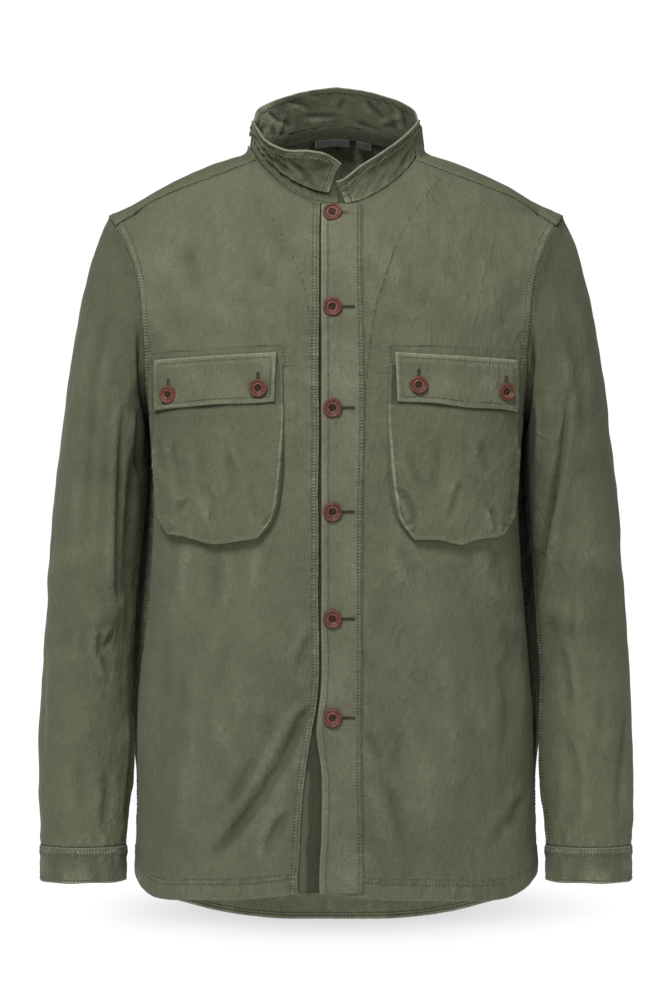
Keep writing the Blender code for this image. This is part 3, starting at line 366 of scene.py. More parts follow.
CREASES_SLEEVE_LEFT = table("along0 around0 along1 around1 bow width height lip", [
    (0.20, 84.0, 0.50, 158.0, -0.006, 0.0080, 0.0044, 0.50),
    (0.26, 112.0, 0.46, 168.0, 0.004, 0.0070, 0.0022, 0.40),
    (0.54, 104.0, 0.62, 112.0, 0.002, 0.0040, 0.0016, 0.50),
    (0.62, 128.0, 0.76, 116.0, 0.003, 0.0060, 0.0018, 0.50),
    (0.72, 76.0, 0.84, 84.0, 0.004, 0.0070, 0.0012, 0.40),
    (0.80, 120.0, 0.90, 104.0, 0.003, 0.0055, 0.0016, 0.50),
    (0.76, 30.0, 0.96, 52.0, -0.004, 0.0060, 0.0016, 0.50),
    (0.88, 108.0, 0.97, 118.0, 0.002, 0.0060, 0.0014, 0.40),
    (0.10, 62.0, 0.28, 70.0, 0.004, 0.0110, 0.0016, 0.40),
    (0.08, 130.0, 0.20, 150.0, 0.003, 0.0080, 0.0024, 0.50),
    (0.54, 228.0, 0.60, 270.0, 0.003, 0.0070, 0.0030, 0.60),
    (0.60, 216.0, 0.66, 268.0, -0.003, 0.0070, 0.0032, 0.60),
    (0.69, 230.0, 0.74, 282.0, 0.003, 0.0070, 0.0020, 0.50),
    (0.18, 246.0, 0.46, 258.0, 0.005, 0.0110, 0.0022, 0.40),
    (0.84, 250.0, 0.96, 240.0, 0.003, 0.0080, 0.0016, 0.40),
    (0.36, 345.0, 0.64, 356.0, 0.004, 0.0110, 0.0014, 0.40),
])
CREASES_COLLAR = table(CREASE, [
    (-52.0, 0.040, -30.0, 0.020, 1.5, 2.8, 0.0022, 0.60),
    (-34.0, 0.046, -16.0, 0.034, -1.0, 2.4, 0.0018, 0.60),
    (-24.0, 0.028, 4.0, 0.024, 1.0, 2.4, 0.0018, 0.60),
    (-46.0, 0.014, -38.0, 0.034, -1.0, 2.6, -0.0018, 0.60),
    (6.0, 0.042, 2.0, 0.030, 1.0, 2.2, 0.0014, 0.50),
    (20.0, 0.046, 36.0, 0.030, 1.5, 2.8, 0.0022, 0.60),
    (30.0, 0.022, 52.0, 0.036, -1.0, 2.6, -0.0020, 0.60),
    (12.0, 0.020, 34.0, 0.016, 1.0, 2.4, 0.0014, 0.50),
    (50.0, 0.044, 58.0, 0.020, 1.0, 2.6, 0.0018, 0.50),
    (-58.0, 0.018, -72.0, 0.028, 1.0, 3.0, 0.0020, 0.50),
    (-74.0, 0.010, -98.0, 0.018, 1.0, 3.0, -0.0016, 0.50),
    (-100.0, 0.006, -116.0, 0.018, 1.0, 3.0, -0.0014, 0.50),
    (-120.0, 0.014, -156.0, 0.018, 1.5, 2.6, -0.0022, 0.60),
    (-150.0, 0.030, -168.0, 0.014, 1.0, 2.6, -0.0020, 0.50),
    (-128.0, 0.026, -142.0, 0.012, 1.0, 2.6, 0.0014, 0.50),
    (104.0, 0.004, 114.0, 0.020, 1.0, 3.0, -0.0010, 0.40),
    (126.0, 0.003, 132.0, 0.016, 1.0, 3.0, -0.0009, 0.40),
    (-108.0, 0.012, -122.0, 0.026, -1.0, 3.0, -0.0010, 0.40),
    (-134.0, 0.010, -142.0, 0.020, -1.0, 3.0, -0.0009, 0.40),
    (146.0, 0.004, 152.0, 0.022, 1.0, 3.0, -0.0009, 0.40),
])
"""Creases of the collar in degrees round the neck and height over its seam; width is in degrees."""

CREASE_GAIN = 1.9
POCKET_GAIN = 2.6
"""How much stronger than listed the creases are, on the panels and on the pockets."""
UNDERARM_FOLD = 0.011
"""Depth of the fold that the sleeve's cloth makes beside the armhole seam, in front and under the arm."""
BACK_TUCK = 0.006
"""How far the back's top edge runs up inside the yoke."""
RUMPLES = ((0.00045, 0.050, 13), (0.00040, 0.024, 15), (0.00020, 0.012, 15))
"""Height, size and number of waves of the washed cloth's ripples."""
BAND_HEIGHT = 0.0007
PUCKER_HEIGHT = 0.00050
PUCKER_SIZE = 0.009
PUCKER_REACH = 0.011
FULL_FADE_AND_SHADE = 0.0010
# How far a ridge stands over its surroundings where its dye is worn off and its painted highlight is strongest;
# troughs get painted shade, darkest at 1.3 times this depth.
"""How far a ridge stands over its surroundings where its dye is worn off most."""
EDGE_ROLL = (0.0008, 0.0016)
"""How far a folded edge turns down, and over what breadth."""
BUTTON_DIP = (0.0005, 0.012)
"""How deep a button presses into the cloth round it, and how far out."""
ROW_START = 0.0012
"""Breadth beside an armhole seam over which its raised band starts."""
BETWEEN_ROWS = 0.0040
"""The middle between the two rows beside an armhole seam, where the band is rubbed paler."""
CROWDED = 0.0007
"""Rows of a panel nearer than this to the underarm level are left out."""
HEM_ROWS = (0.0150, 0.0200)
ARMHOLE_ROWS = (0.0016, 0.0078)
YOKE_ROWS = (0.0016, 0.0098)
EDGE_ROWS = (0.0022, 0.0062)
PLACKET_ROWS = (0.0010, 0.0042)
PLACKET_INNER_ROW = 0.0066
CUFF_ROWS = (0.0014, 0.0074)
CUFF_BOTTOM_ROW = 0.0024
COLLAR_ROW = 0.0060
COLLAR_ROW_PARTS = ((-173, -98), (-82, 82), (98, 172))
"""Stretches of the row beside the collar's rim, in degrees round the neck; it is left out where the rim is
seen edge on."""
PAINTED_LIGHT_AT = -63.0
# Where painted light makes the collar's inside palest, in degrees round the neck.
"""Where the collar's inside is palest, in degrees round the neck."""
STAND_ROW = 0.0018
FLAP_ROW = 0.0048
INSEAM_ANGLE = 172.0
INSEAM_STITCHES = 3.4
"""Where the inner seam runs, in degrees round a sleeve, and how far beyond it its stitches lie."""
LADDER = 2000.0
"""Puckers across a stitched seam: turns in radians for each metre along it."""
FAR = 0.05
"""A distance at which a seam has no more effect on the cloth."""

STITCH_PITCH = 0.0033
STITCH_LENGTH = 0.0024
STITCH_WIDTH = 0.00052
STITCH_RISE = 0.00018
STITCH_LIFT = 0.00008
STITCH_UNEVEN = (0.05, 0.10)
"""How much stitches stray along their row, in parts of the pitch, and turn, in radians."""
THREAD_RADIUS = 0.00042
"""Half thickness of the thread through the buttons."""
LINE_LAY = 0.0003
"""How high the stitches of the facing and patch lines lie over the plain front."""

PLACKET_WAVER = table("z left right", [
    (-0.744, -0.0010, 0.0000), (-0.716, -0.0020, 0.0005), (-0.668, 0.0006, 0.0000),
    (-0.612, 0.0000, -0.0010), (-0.576, -0.0048, -0.0010), (-0.535, -0.0006, -0.0006),
    (-0.480, -0.0002, -0.0008), (-0.400, 0.0000, -0.0004), (-0.345, 0.0002, 0.0000),
    (-0.290, 0.0000, 0.0014), (-0.240, 0.0004, 0.0018), (-0.180, 0.0000, 0.0004),
    (-0.120, -0.0003, -0.0006), (-0.060, 0.0000, 0.0000),
])
"""How far the placket's two edges stray sideways."""
FACING_RIGHT = table("x z", [
    (-0.0985, -0.0330), (-0.0765, -0.0565), (-0.0610, -0.0790), (-0.0440, -0.1080), (-0.0297, -0.1500),
    (-0.0258, -0.1730), (-0.0232, -0.2220),
])
FACING_LEFT = table("x z", [
    (0.1010, -0.0335), (0.0660, -0.0870), (0.0465, -0.1390), (0.0378, -0.1690), (0.0320, -0.2140),
    (0.0285, -0.2420),
])
"""Seam line of each front's facing, sewn through to the outside."""
PATCH_RIGHT = table("x z", [(-0.1815, -0.2100), (-0.1815, -0.2065), (-0.0500, -0.2000), (-0.0500, -0.2215)])
PATCH_LEFT = table("x z", [(0.0530, -0.2200), (0.0530, -0.2000), (0.1815, -0.2040), (0.1815, -0.2280)])
"""Seam line of the patch behind each flap."""

"""Flat size and area of what shows of each cloth piece, all round on a tube."""

# ---------------------------------------------------------------- curves and the body surface


def curve(rows, column, at):
    """Smooth curve through a column: a cubic between rows, its slope at a row taken from both neighbours."""
    x = rows[rows.dtype.names[0]]
    y = rows[column]
    slope = np.gradient(y, x)
    at = np.clip(np.asarray(at, dtype=float), x[0], x[-1])
    i = np.clip(np.searchsorted(x, at, side="right") - 1, 0, len(x) - 2)
    step = x[i + 1] - x[i]
    t = (at - x[i]) / step
    rise = y[i] * (1 + 2 * t) * (1 - t) ** 2 + y[i + 1] * t ** 2 * (3 - 2 * t)
    return rise + step * (slope[i] * t * (1 - t) ** 2 - slope[i + 1] * t ** 2 * (1 - t))


def ease(t):
    """Smooth step from 0 to 1."""
    t = np.clip(t, 0.0, 1.0)
    return t * t * (3 - 2 * t)


def bell(distance, width):
    """Bell curve of the distance, 1 in the middle."""
    return np.exp(-(distance / width) ** 2)


def ridge_y(x):
    """Depth of the shoulder line: it runs back behind the neck."""
    return NECK_MIDDLE + RIDGE_NEAR_NECK * np.clip(1 - (x / NECK_WIDTH) ** 2, 0, 1)


def armhole_y(z, side):
    """Depth of the armhole seam at a height; side is -1 on the front and 1 on the back."""
    cosine = np.clip((z - ARM_MIDDLE) / ARM_HALF, -1, 1)
    return NECK_MIDDLE * (1 + cosine) / 2 + side * ARMHOLE_DEPTH * np.sqrt(1 - cosine ** 2)


def corner_power(z, side):
    """Power that brings a level section through its corner depth."""
    depth = curve(DEPTH, "front" if side < 0 else "back", z)
    corner = curve(DEPTH, "corner", z) * (1.0 if side < 0 else BACK_CORNER_PART)
    edge = side * armhole_y(z, side)
    closing = 1 - CORNER_AT ** curve(DEPTH, "round_x", z)
    return np.log((corner - edge) / (depth - edge)) / np.log(closing)


def body_y(x, z, side):
    """Depth of the body: the chest falls away over the shoulder as (1 - t^FALL_POWER)^(1/ROUND_POWER), and
    each level section closes as a squared ellipse onto the side seam or the armhole seam."""
    x = np.abs(x)
    reach = curve(SILHOUETTE, "side", z)
    depth = side * curve(DEPTH, "front" if side < 0 else "back", z)
    t = np.clip((z - CHEST) / (curve(RIDGE, "z", x) - CHEST), 0, 1)
    middle = ridge_y(x)
    profile = middle + (depth - middle) * (1 - t ** FALL_POWER) ** (1 / ROUND_POWER)
    edge = armhole_y(z, side)
    across = 1 - np.clip(x / reach, 0, 1) ** curve(DEPTH, "round_x", z)
    return edge + (profile - edge) * across ** corner_power(np.minimum(z, CHEST), side)


def top_z(x, y, side, halvings=40):
    """Height of the body over a point of the plan, found by halving the interval."""
    low = np.full(np.shape(x), CHEST)
    high = curve(RIDGE, "z", np.abs(x))
    for _ in range(halvings):
        middle = (low + high) / 2
        beyond = side * body_y(x, middle, side) > side * y
        low = np.where(beyond, middle, low)
        high = np.where(beyond, high, middle)
    return (low + high) / 2


def over_shoulder(x, y):
    """Height of the body over the plan, on whichever side of the shoulder line the point lies."""
    return np.where(y < ridge_y(x), top_z(x, y, -1), top_z(x, y, 1))


def neck_ring(angle):
    """Neckline by degrees from the centre back: an oval in plan, laid on the body."""
    turn = np.radians(angle)
    x = NECK_WIDTH * np.sin(turn)
    cosine = np.cos(turn)
    y = NECK_MIDDLE + np.where(cosine < 0, NECK_FRONT, NECK_BACK) * cosine
    z = np.where(cosine < 0, top_z(x, y, -1), top_z(x, y, 1))
    return np.stack([x, y, z], axis=-1)


def yoke_front_z(x):
    """Height of the front yoke seam."""
    return curve(YOKE_FRONT, "z", np.abs(x))


# ---------------------------------------------------------------- relief of the cloth

def ripple(u, v, size, seed, waves=9):
    """Uneven swell of about -1 to 1: sine waves of roughly one size in scattered directions."""
    chance = np.random.default_rng(seed)
    turn = chance.uniform(0, np.pi, waves)
    number = 2 * np.pi / (size * chance.uniform(0.6, 1.7, waves))
    phase = chance.uniform(0, 2 * np.pi, waves)
    run = np.multiply.outer(u, np.cos(turn) * number) + np.multiply.outer(v, np.sin(turn) * number)
    return np.sin(run + phase).sum(axis=-1) / waves ** 0.5


def fold_height(x, z, folds):
    """Sum of the solid's soft folds, each a bell across its line and fading at its ends."""
    total = np.zeros(np.shape(x))
    for fold in folds:
        along_x = fold["x1"] - fold["x0"]
        along_z = fold["z1"] - fold["z0"]
        length = np.hypot(along_x, along_z)
        along = ((x - fold["x0"]) * along_x + (z - fold["z0"]) * along_z) / length ** 2
        across = ((x - fold["x0"]) * along_z - (z - fold["z0"]) * along_x) / length
        fade = ease((along + FOLD_RUN_OUT) / FOLD_FADE) * ease((1 + FOLD_RUN_OUT - along) / FOLD_FADE)
        total += fold["height"] * bell(across, fold["width"]) * fade
    return total


def rumple(u, v, seed, tall=1.8):
    """Uneven washed surface: three sizes of ripple, longer down the piece, stronger in some places."""
    v = v / tall
    patchy = np.clip(0.75 + 0.55 * ripple(u, v, 0.150, seed + 1), 0.1, 1.9)
    return patchy * sum(height * ripple(u, v, size, seed + k, waves)
                        for k, (height, size, waves) in enumerate(RUMPLES, 2))


def pucker(along, away, seed, size=PUCKER_SIZE):
    """Puckers of a seam, by the length along it and the distance from it."""
    return PUCKER_HEIGHT * ripple(along, away, size, seed)


def folded_edge(distance):
    """How far the cloth turns down by the distance from a folded edge."""
    return EDGE_ROLL[0] * (1 - ease(distance / EDGE_ROLL[1]))


def button_dip(x, z, at_x, at_z):
    """How far a button presses into the cloth round it."""
    return BUTTON_DIP[0] * bell(np.hypot(x - at_x, z - at_z), BUTTON_DIP[1])


def edge_wear(distance):
    """Cloth a little paler near a turned edge."""
    return 0.25 * bell(distance, 0.0030)


def ridge_fade_and_trough_shade(lift, reach=5):
    """How far the lift stands over its surroundings, from -1.3 in troughs to 1 on ridges: ridges paler from
    worn dye and a painted highlight, troughs darker from painted shade; reach is in grid steps."""
    near = lift
    for axis in (0, 1):
        pad = [(0, 0), (0, 0)]
        pad[axis] = (reach + 1, reach)
        total = np.cumsum(np.pad(near, pad, mode="edge"), axis=axis)
        ahead, behind = [slice(None)] * 2, [slice(None)] * 2
        ahead[axis], behind[axis] = slice(2 * reach + 1, None), slice(None, -2 * reach - 1)
        near = (total[tuple(ahead)] - total[tuple(behind)]) / (2 * reach + 1)
    return np.clip((lift - near) / FULL_FADE_AND_SHADE, -1.3, 1.0)


def past_ends(value, low, high, fade):
    """0 between two ends, rising to 1 over a length past either."""
    return np.maximum(ease((low - value) / fade), ease((value - high) / fade))


def line_distance(x, z, rows):
    """Signed distance from a curve that runs down a front, and how far past its ends, from 0 to 1."""
    rising = rows[np.argsort(rows["z"])]
    past = past_ends(z, *rising["z"][[0, -1]], 0.004)
    line_x = curve(rising[["z", "x"]], "x", z)
    nudge = 0.001
    slope = (curve(rising[["z", "x"]], "x", z + nudge) - line_x) / nudge
    return (x - line_x) / np.hypot(1.0, slope), past


def crease_height(u, v, rows, scale=1.0):
    """Sum of creases: a narrow bell across a bowed line, with a lip beside it, tapering at both ends.

    The first two columns are one end, the next two the other; v is multiplied by scale so that both
    directions have one unit.
    """
    total = np.zeros(np.shape(u))
    for row in rows:
        u0, v0, u1, v1, bow, width, height, lip = row
        along_u = u1 - u0
        along_v = (v1 - v0) * scale
        length = np.hypot(along_u, along_v)
        from_u = u - u0
        from_v = (v - v0) * scale
        t = (from_u * along_u + from_v * along_v) / length ** 2
        across = (from_u * along_v - from_v * along_u) / length - 4 * bow * t * (1 - t)
        taper = ease((t + 0.10) / 0.40) * ease((1.10 - t) / 0.45)
        slim = width * (0.6 + 0.4 * taper)
        shape = bell(across, slim) - lip * bell(across - 1.8 * width, 1.2 * width)
        total += height * shape * taper
    return total


def band(distance, along, rows, seed):
    """A sewn double layer beside a seam: a raised band up to its last row of stitches, and puckers."""
    height = BAND_HEIGHT * (1 - ease((distance - rows[-1]) / 0.003))
    uneven = pucker(along, 0.35 * distance, seed)
    return height + uneven * bell(distance - rows[-1] / 2, PUCKER_REACH)


def front_relief(x, z):
    """Lift of the fronts over the body by folds, creases and a slight ripple."""
    creases = CREASE_GAIN * crease_height(x, z, CREASES_FRONT)
    return fold_height(x, z, FOLDS_FRONT) + creases + rumple(x, z, 5)


def slope_normals(x, z):
    """Outward normals of the front body surface from its slopes."""
    nudge = 0.0005
    slope_x = (body_y(x + nudge, z, -1) - body_y(x - nudge, z, -1)) / (2 * nudge)
    slope_z = (body_y(x, z + nudge, -1) - body_y(x, z - nudge, -1)) / (2 * nudge)
    out = np.stack([slope_x, -np.ones(x.shape), slope_z], axis=-1)
    return out / np.linalg.norm(out, axis=-1, keepdims=True)


def front_points(x, z, lift):
    """Points of the front's cloth moved out by lift."""
    base = np.stack([x, body_y(x, z, -1), z], axis=-1)
    return base + slope_normals(x, z) * (lift + front_relief(x, z))[..., None]


def on_front(x, z, lift):
    """The same points with their normals."""
    return front_points(x, z, lift), slope_normals(x, z)


# ---------------------------------------------------------------- grids

def grid_normals(points, wrap=False):
    """Unit normals of a grid from the cross product of its two directions."""
    if wrap:
        points = np.concatenate([points[:, -1:], points, points[:, :1]], axis=1)
    cross = np.cross(np.gradient(points, axis=0), np.gradient(points, axis=1))
    cross /= np.linalg.norm(cross, axis=2, keepdims=True) + 1e-12
    return cross[:, 1:-1] if wrap else cross


def run_length(points, axis):
    """Length along each line of a grid from its first point."""
    step = np.linalg.norm(np.diff(points, axis=axis), axis=-1)
    zero = np.zeros_like(np.take(step, [0], axis=axis))
    return np.concatenate([zero, np.cumsum(step, axis=axis)], axis=axis)


def from_ends(run, axis=1):
    """Distance from the nearer end of each line, by the lengths along it."""
    return np.minimum(run, np.take(run, [-1], axis=axis) - run)


def circle(sides):
    """Angles of a closed ring."""
    return np.linspace(0, 2 * np.pi, sides, endpoint=False)


def reverse(*fields):
    """Grids with their columns in the other order."""
    return [field[:, ::-1] for field in fields]


def refine(points, parts, axis):
    """Cut each interval of a grid into parts along one axis, on the cubic through its points."""
    points = np.moveaxis(points, axis, 0)
    count = len(points)
    at = np.linspace(0, count - 1, (count - 1) * parts + 1)
    i = np.minimum(at.astype(int), count - 2)
    t = (at - i).reshape((-1,) + (1,) * (points.ndim - 1))
    slope = np.gradient(points, axis=0)
    made = points[i] * (1 + 2 * t) * (1 - t) ** 2 + points[i + 1] * t ** 2 * (3 - 2 * t)
    made += slope[i] * t * (1 - t) ** 2 - slope[i + 1] * t ** 2 * (1 - t)
    return np.moveaxis(made, 0, axis)


def pull_edge(points, edge, axis, last, reach):
    """Move one edge of a grid onto given points, the move fading over a share of the grid."""
    points = np.moveaxis(points, axis, 0)
    if last:
        points = points[::-1]
    fade = (1 - ease(np.linspace(0, 1, len(points)) / reach))[:, None, None]
    points = points + (edge - points[0])[None] * fade
    if last:
        points = points[::-1]
    return np.moveaxis(points, 0, axis)


def level_line(points, outward, field, value, axis=1):
    """Line on a grid where a field that grows along an axis has a value: its points and normals."""
    both = np.concatenate([points, outward], axis=-1)
    if axis == 0:
        both = np.moveaxis(both, 0, 1)
        field = field.T
    line = []
    for values, row in zip(field, both):
        order = slice(None) if values[-1] > values[0] else slice(None, None, -1)
        line.append([np.interp(value, values[order], column[order]) for column in row.T])
    line = np.array(line)
    return line[:, :3], line[:, 3:]


# ---------------------------------------------------------------- meshes

def quads(rows, columns, wrap, flip):
    """Corner numbers of a grid's quads, and the same with the closing column counted on, for its UV map."""
    i, j = np.meshgrid(np.arange(rows - 1), np.arange(columns if wrap else columns - 1), indexing="ij")
    corners = np.stack([i, i, i + 1, i + 1], axis=-1).reshape(-1, 4)
    across = np.stack([j, j + 1, j + 1, j], axis=-1).reshape(-1, 4)
    if flip:
        corners = corners[:, ::-1]
        across = across[:, ::-1]
    return corners * columns + across % columns, corners * (columns + 1) + across


def place_object(name, data):
    """Object at the origin in the scene."""
    made = bpy.data.objects.new(name, data)
    bpy.context.scene.collection.objects.link(made)
    return made


def new_object(name, points, faces, finish):
    """Mesh object at the origin, shaded smooth, with one material."""
    mesh = bpy.data.meshes.new(name)
    mesh.from_pydata(points.reshape(-1, 3).tolist(), [], faces.tolist())
    mesh.update()
    mesh.shade_smooth()
    mesh.materials.append(finish)
    return place_object(name, mesh)


def add_maps(made, uv, uv_corners, maps):
    """UV map in metres of cloth, and point attributes by name."""
    mesh = made.data
    layer = mesh.uv_layers.new(name="cloth")
    layer.data.foreach_set("uv", uv.reshape(-1, 2)[uv_corners.ravel()].astype(np.float32).ravel())
    for name, values in maps.items():
        kind = "FLOAT_VECTOR" if values.shape[-1] == 3 and values.ndim == 3 else "FLOAT"
        layer = mesh.attributes.new(name, kind, "POINT")
        field = "vector" if kind == "FLOAT_VECTOR" else "value"
        layer.data.foreach_set(field, values.astype(np.float32).ravel())


def cloth_uv(points):
    """Place in the cloth: across by length along each row, down by the mean length of the columns."""
    closed = np.concatenate([points, points[:, :1]], axis=1)
    across = run_length(closed, 1)
    down = run_length(points, 0).mean(axis=1)[:, None] + np.zeros(across.shape)
    return np.stack([across, -down], axis=-1)


def cloth(name, points, maps, thickness, finish, wrap=False, flip=False):
    """One cloth piece: a grid of outer points with its maps, thickened inwards; finish is its outside and
    its inside material."""
    rows, columns = points.shape[:2]
    faces, uv_corners = quads(rows, columns, wrap, flip)
    made = new_object(name, points, faces, finish[0])
    made.data.materials.append(finish[1])
    add_maps(made, cloth_uv(points), uv_corners, maps)
    solid = made.modifiers.new("thickness", "SOLIDIFY")
    solid.thickness = thickness
    solid.offset = -1.0
    solid.use_rim = True
    solid.material_offset = 1
    return made


def slab(name, inner, outer, maps, finish):
    """Closed piece between two grids, joined round their edges."""
    rows, columns = inner.shape[:2]
    count = rows * columns
    low, low_uv = quads(rows, columns, False, False)
    high, high_uv = quads(rows, columns, False, True)
    top = np.arange(columns)
    right = np.arange(1, rows) * columns + columns - 1
    bottom = (rows - 1) * columns + np.arange(columns - 1)[::-1]
    left = np.arange(1, rows - 1)[::-1] * columns
    edge = np.concatenate([top, right, bottom, left])
    ahead = np.roll(edge, -1)
    rim = np.stack([ahead, edge, edge + count, ahead + count], axis=-1)
    ahead_uv, edge_uv = (place // columns * (columns + 1) + place % columns for place in (ahead, edge))
    rim_uv = np.stack([ahead_uv, edge_uv, edge_uv, ahead_uv], axis=-1)
    made = new_object(name, np.concatenate([inner.reshape(-1, 3), outer.reshape(-1, 3)]),
                      np.concatenate([low, high + count, rim]), finish)
    doubled = {key: np.concatenate([values, values]) for key, values in maps.items()}
    add_maps(made, cloth_uv(outer), np.concatenate([low_uv, high_uv, rim_uv]), doubled)
    return made


# ---------------------------------------------------------------- stitches

STITCH = np.array([
    (-0.5, 0.0, -0.4), (-0.28, 0.5, 0.1), (-0.28, 0.0, 1.0), (-0.28, -0.5, 0.1), (-0.28, 0.0, -0.6),
    (0.28, 0.5, 0.1), (0.28, 0.0, 1.0), (0.28, -0.5, 0.1), (0.28, 0.0, -0.6), (0.5, 0.0, -0.4),
])
STITCH_FACES = (
    (0, 2, 1), (0, 3, 2), (0, 4, 3), (0, 1, 4), (1, 2, 6, 5), (2, 3, 7, 6), (3, 4, 8, 7), (4, 1, 5, 8),
    (9, 5, 6), (9, 6, 7), (9, 7, 8), (9, 8, 5),
)
"""A stitch: a small four-sided spindle, its corners in parts of its length, width and height."""
sewn = {}


def spread_stitches(line, outward, pitch, length, seed=1, slant=0.0):
    """Corners of every stitch along a line, evenly spaced by length and a little uneven."""
    run = np.concatenate([[0], np.cumsum(np.linalg.norm(np.diff(line, axis=0), axis=1))])
    count = max(int(run[-1] / pitch), 1)
    at = (np.arange(count) + 0.5) * run[-1] / count
    chance = np.random.default_rng(seed + count)
    stray, turned = STITCH_UNEVEN
    at = at + chance.uniform(-stray, stray, count) * pitch

    def read(values, where):
        return np.stack([np.interp(where, run, column) for column in values.T], axis=-1)

    nudge = 0.0008
    up = read(outward, at)
    forward = read(line, at + nudge) - read(line, at - nudge)
    forward /= np.linalg.norm(forward, axis=1, keepdims=True) + 1e-12
    up /= np.linalg.norm(up, axis=1, keepdims=True) + 1e-12
    side = np.cross(up, forward)
    turn = chance.uniform(-turned, turned, count)[:, None] + slant
    cosine, sine = np.cos(turn), np.sin(turn)
    forward, side = forward * cosine + side * sine, side * cosine - forward * sine
    size = STITCH * np.array([length, STITCH_WIDTH, 2.2 * STITCH_RISE])
    corners = read(line, at)[:, None] + up[:, None] * STITCH_LIFT
    corners = corners + size[None, :, :1] * forward[:, None] + size[None, :, 1:2] * side[:, None]
    return corners + size[None, :, 2:] * up[:, None]


def sew(piece, line, outward, pitch=STITCH_PITCH, length=STITCH_LENGTH, slant=0.0):
    """Add a row of stitches to the sewing of a piece."""
    rows = sewn.setdefault(piece, [])
    rows.append(spread_stitches(line, outward, pitch, length, len(rows) + 7, slant))


def sew_level(piece, grid, field, offset, axis=1, rows=slice(None), columns=slice(None)):
    """A row of stitches where a field has a value, over part of a grid of points and normals."""
    points, outward = grid
    sew(piece, *level_line(points[rows, columns], outward[rows, columns], field[rows, columns], offset, axis))


def make_sewing(finish, dark):
    """One object of joined stitches for each piece that was sewn; buttonholes are worked in dark thread."""
    for piece, rows in sewn.items():
        corners = np.concatenate(rows)
        first = np.arange(len(corners))[:, None] * len(STITCH)
        faces = sum([(first + np.array(face)).tolist() for face in STITCH_FACES], [])
        made = bpy.data.meshes.new("stitches_" + piece)
        made.from_pydata(corners.reshape(-1, 3).tolist(), [], faces)
        made.update()
        made.materials.append(dark if piece == "buttonholes" else finish)
        thread = place_object("stitches_" + piece, made)
        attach(thread, "root")


# ---------------------------------------------------------------- body panels

def section_points(z, start, side, columns, samples=400):
    """Points at even arc length along one level section, from start to the side."""
    reach = curve(SILHOUETTE, "side", z)
    turn = np.linspace(np.arcsin(start / reach), np.pi / 2, samples)
    x = reach * np.sin(turn)
    y = body_y(x, np.full(x.shape, z), side)
    run = np.concatenate([[0], np.cumsum(np.hypot(np.diff(x), np.diff(y)))])
    at = np.linspace(0, run[-1] - SEAM, columns)
    return np.interp(at, run, x), np.interp(at, run, y)


def hem_drop(level, hem_z):
    """Height of a row: level on the body, turning into the hem curve over its lower part."""
    return level + (hem_z - HEM_LEVEL) * ease((HEM_START - level) / (HEM_START - HEM_LEVEL))


def panel_rows(first, upper=20, arms=46, lower=176):
    """Angles of the rows beside the armhole above the level one, then the heights of the level rows."""
    angles = np.linspace(first, JOIN_ANGLE, upper)
    levels = ARM_MIDDLE + ARM_HALF * np.cos(np.radians(np.linspace(JOIN_ANGLE, 180.0, arms)[1:]))
    levels = np.append(levels[levels > UNDERARM + CROWDED], UNDERARM)
    return angles, np.concatenate([levels, np.linspace(UNDERARM, HEM_LEVEL, lower)[1:]])


def half_panel(side, top_x, top_row, starts, hem):
    """Half of a panel from its start to the side: shaped rows down to the level one, then level rows that
    turn into the hem curve."""
    columns = len(top_x)
    join_x, _ = section_points(JOIN, starts(JOIN), side, columns)
    angles, levels = panel_rows(FRONT_CORNER if side < 0 else BACK_CORNER)
    end = (ARM_MIDDLE + ARM_HALF * np.cos(np.radians(angles)))[:, None]
    blend = (end - end[0]) / (JOIN - end[0])
    x = top_x * (1 - blend) + join_x * blend
    z = top_row * (1 - blend) + JOIN * blend
    along = np.linspace(0, 1, columns)
    x = x + along * (curve(SILHOUETTE, "side", end) - SEAM - x[:, -1:])
    upper = np.stack([x, body_y(x, z, side), z], axis=-1)
    upper[:, -1, 1] = armhole_y(end[:, 0], side)
    rows = []
    for level in levels:
        row_x, row_y = section_points(level, starts(level), side, columns)
        rows.append(np.stack([row_x, row_y, hem_drop(level, curve(HEM, hem, along))], axis=-1))
    return np.concatenate([upper, np.array(rows)])


def edge_fields(points):
    """Distances of a half panel's points from its side edge, its hem and its start edge."""
    across = run_length(points, 1)
    down = run_length(points, 0)
    return across[:, -1:] - across, down[-1:] - down, across


def panel_calm(side, top, hem, breadth):
    """0 on a panel's seams, where it lies without creases, and 1 away from them; breadth is beside the side."""
    return ease(side / breadth) * ease(top / 0.015) * (1 - 0.6 * bell(hem - 0.008, 0.012))


def panel_wear(side, hem):
    """Paler lines of a panel along its armhole or side seam and its hem."""
    wear = edge_wear(side) + 0.20 * bell(side - BETWEEN_ROWS, 0.004)
    return wear + edge_wear(hem) + 0.15 * bell(hem - 0.010, 0.008)


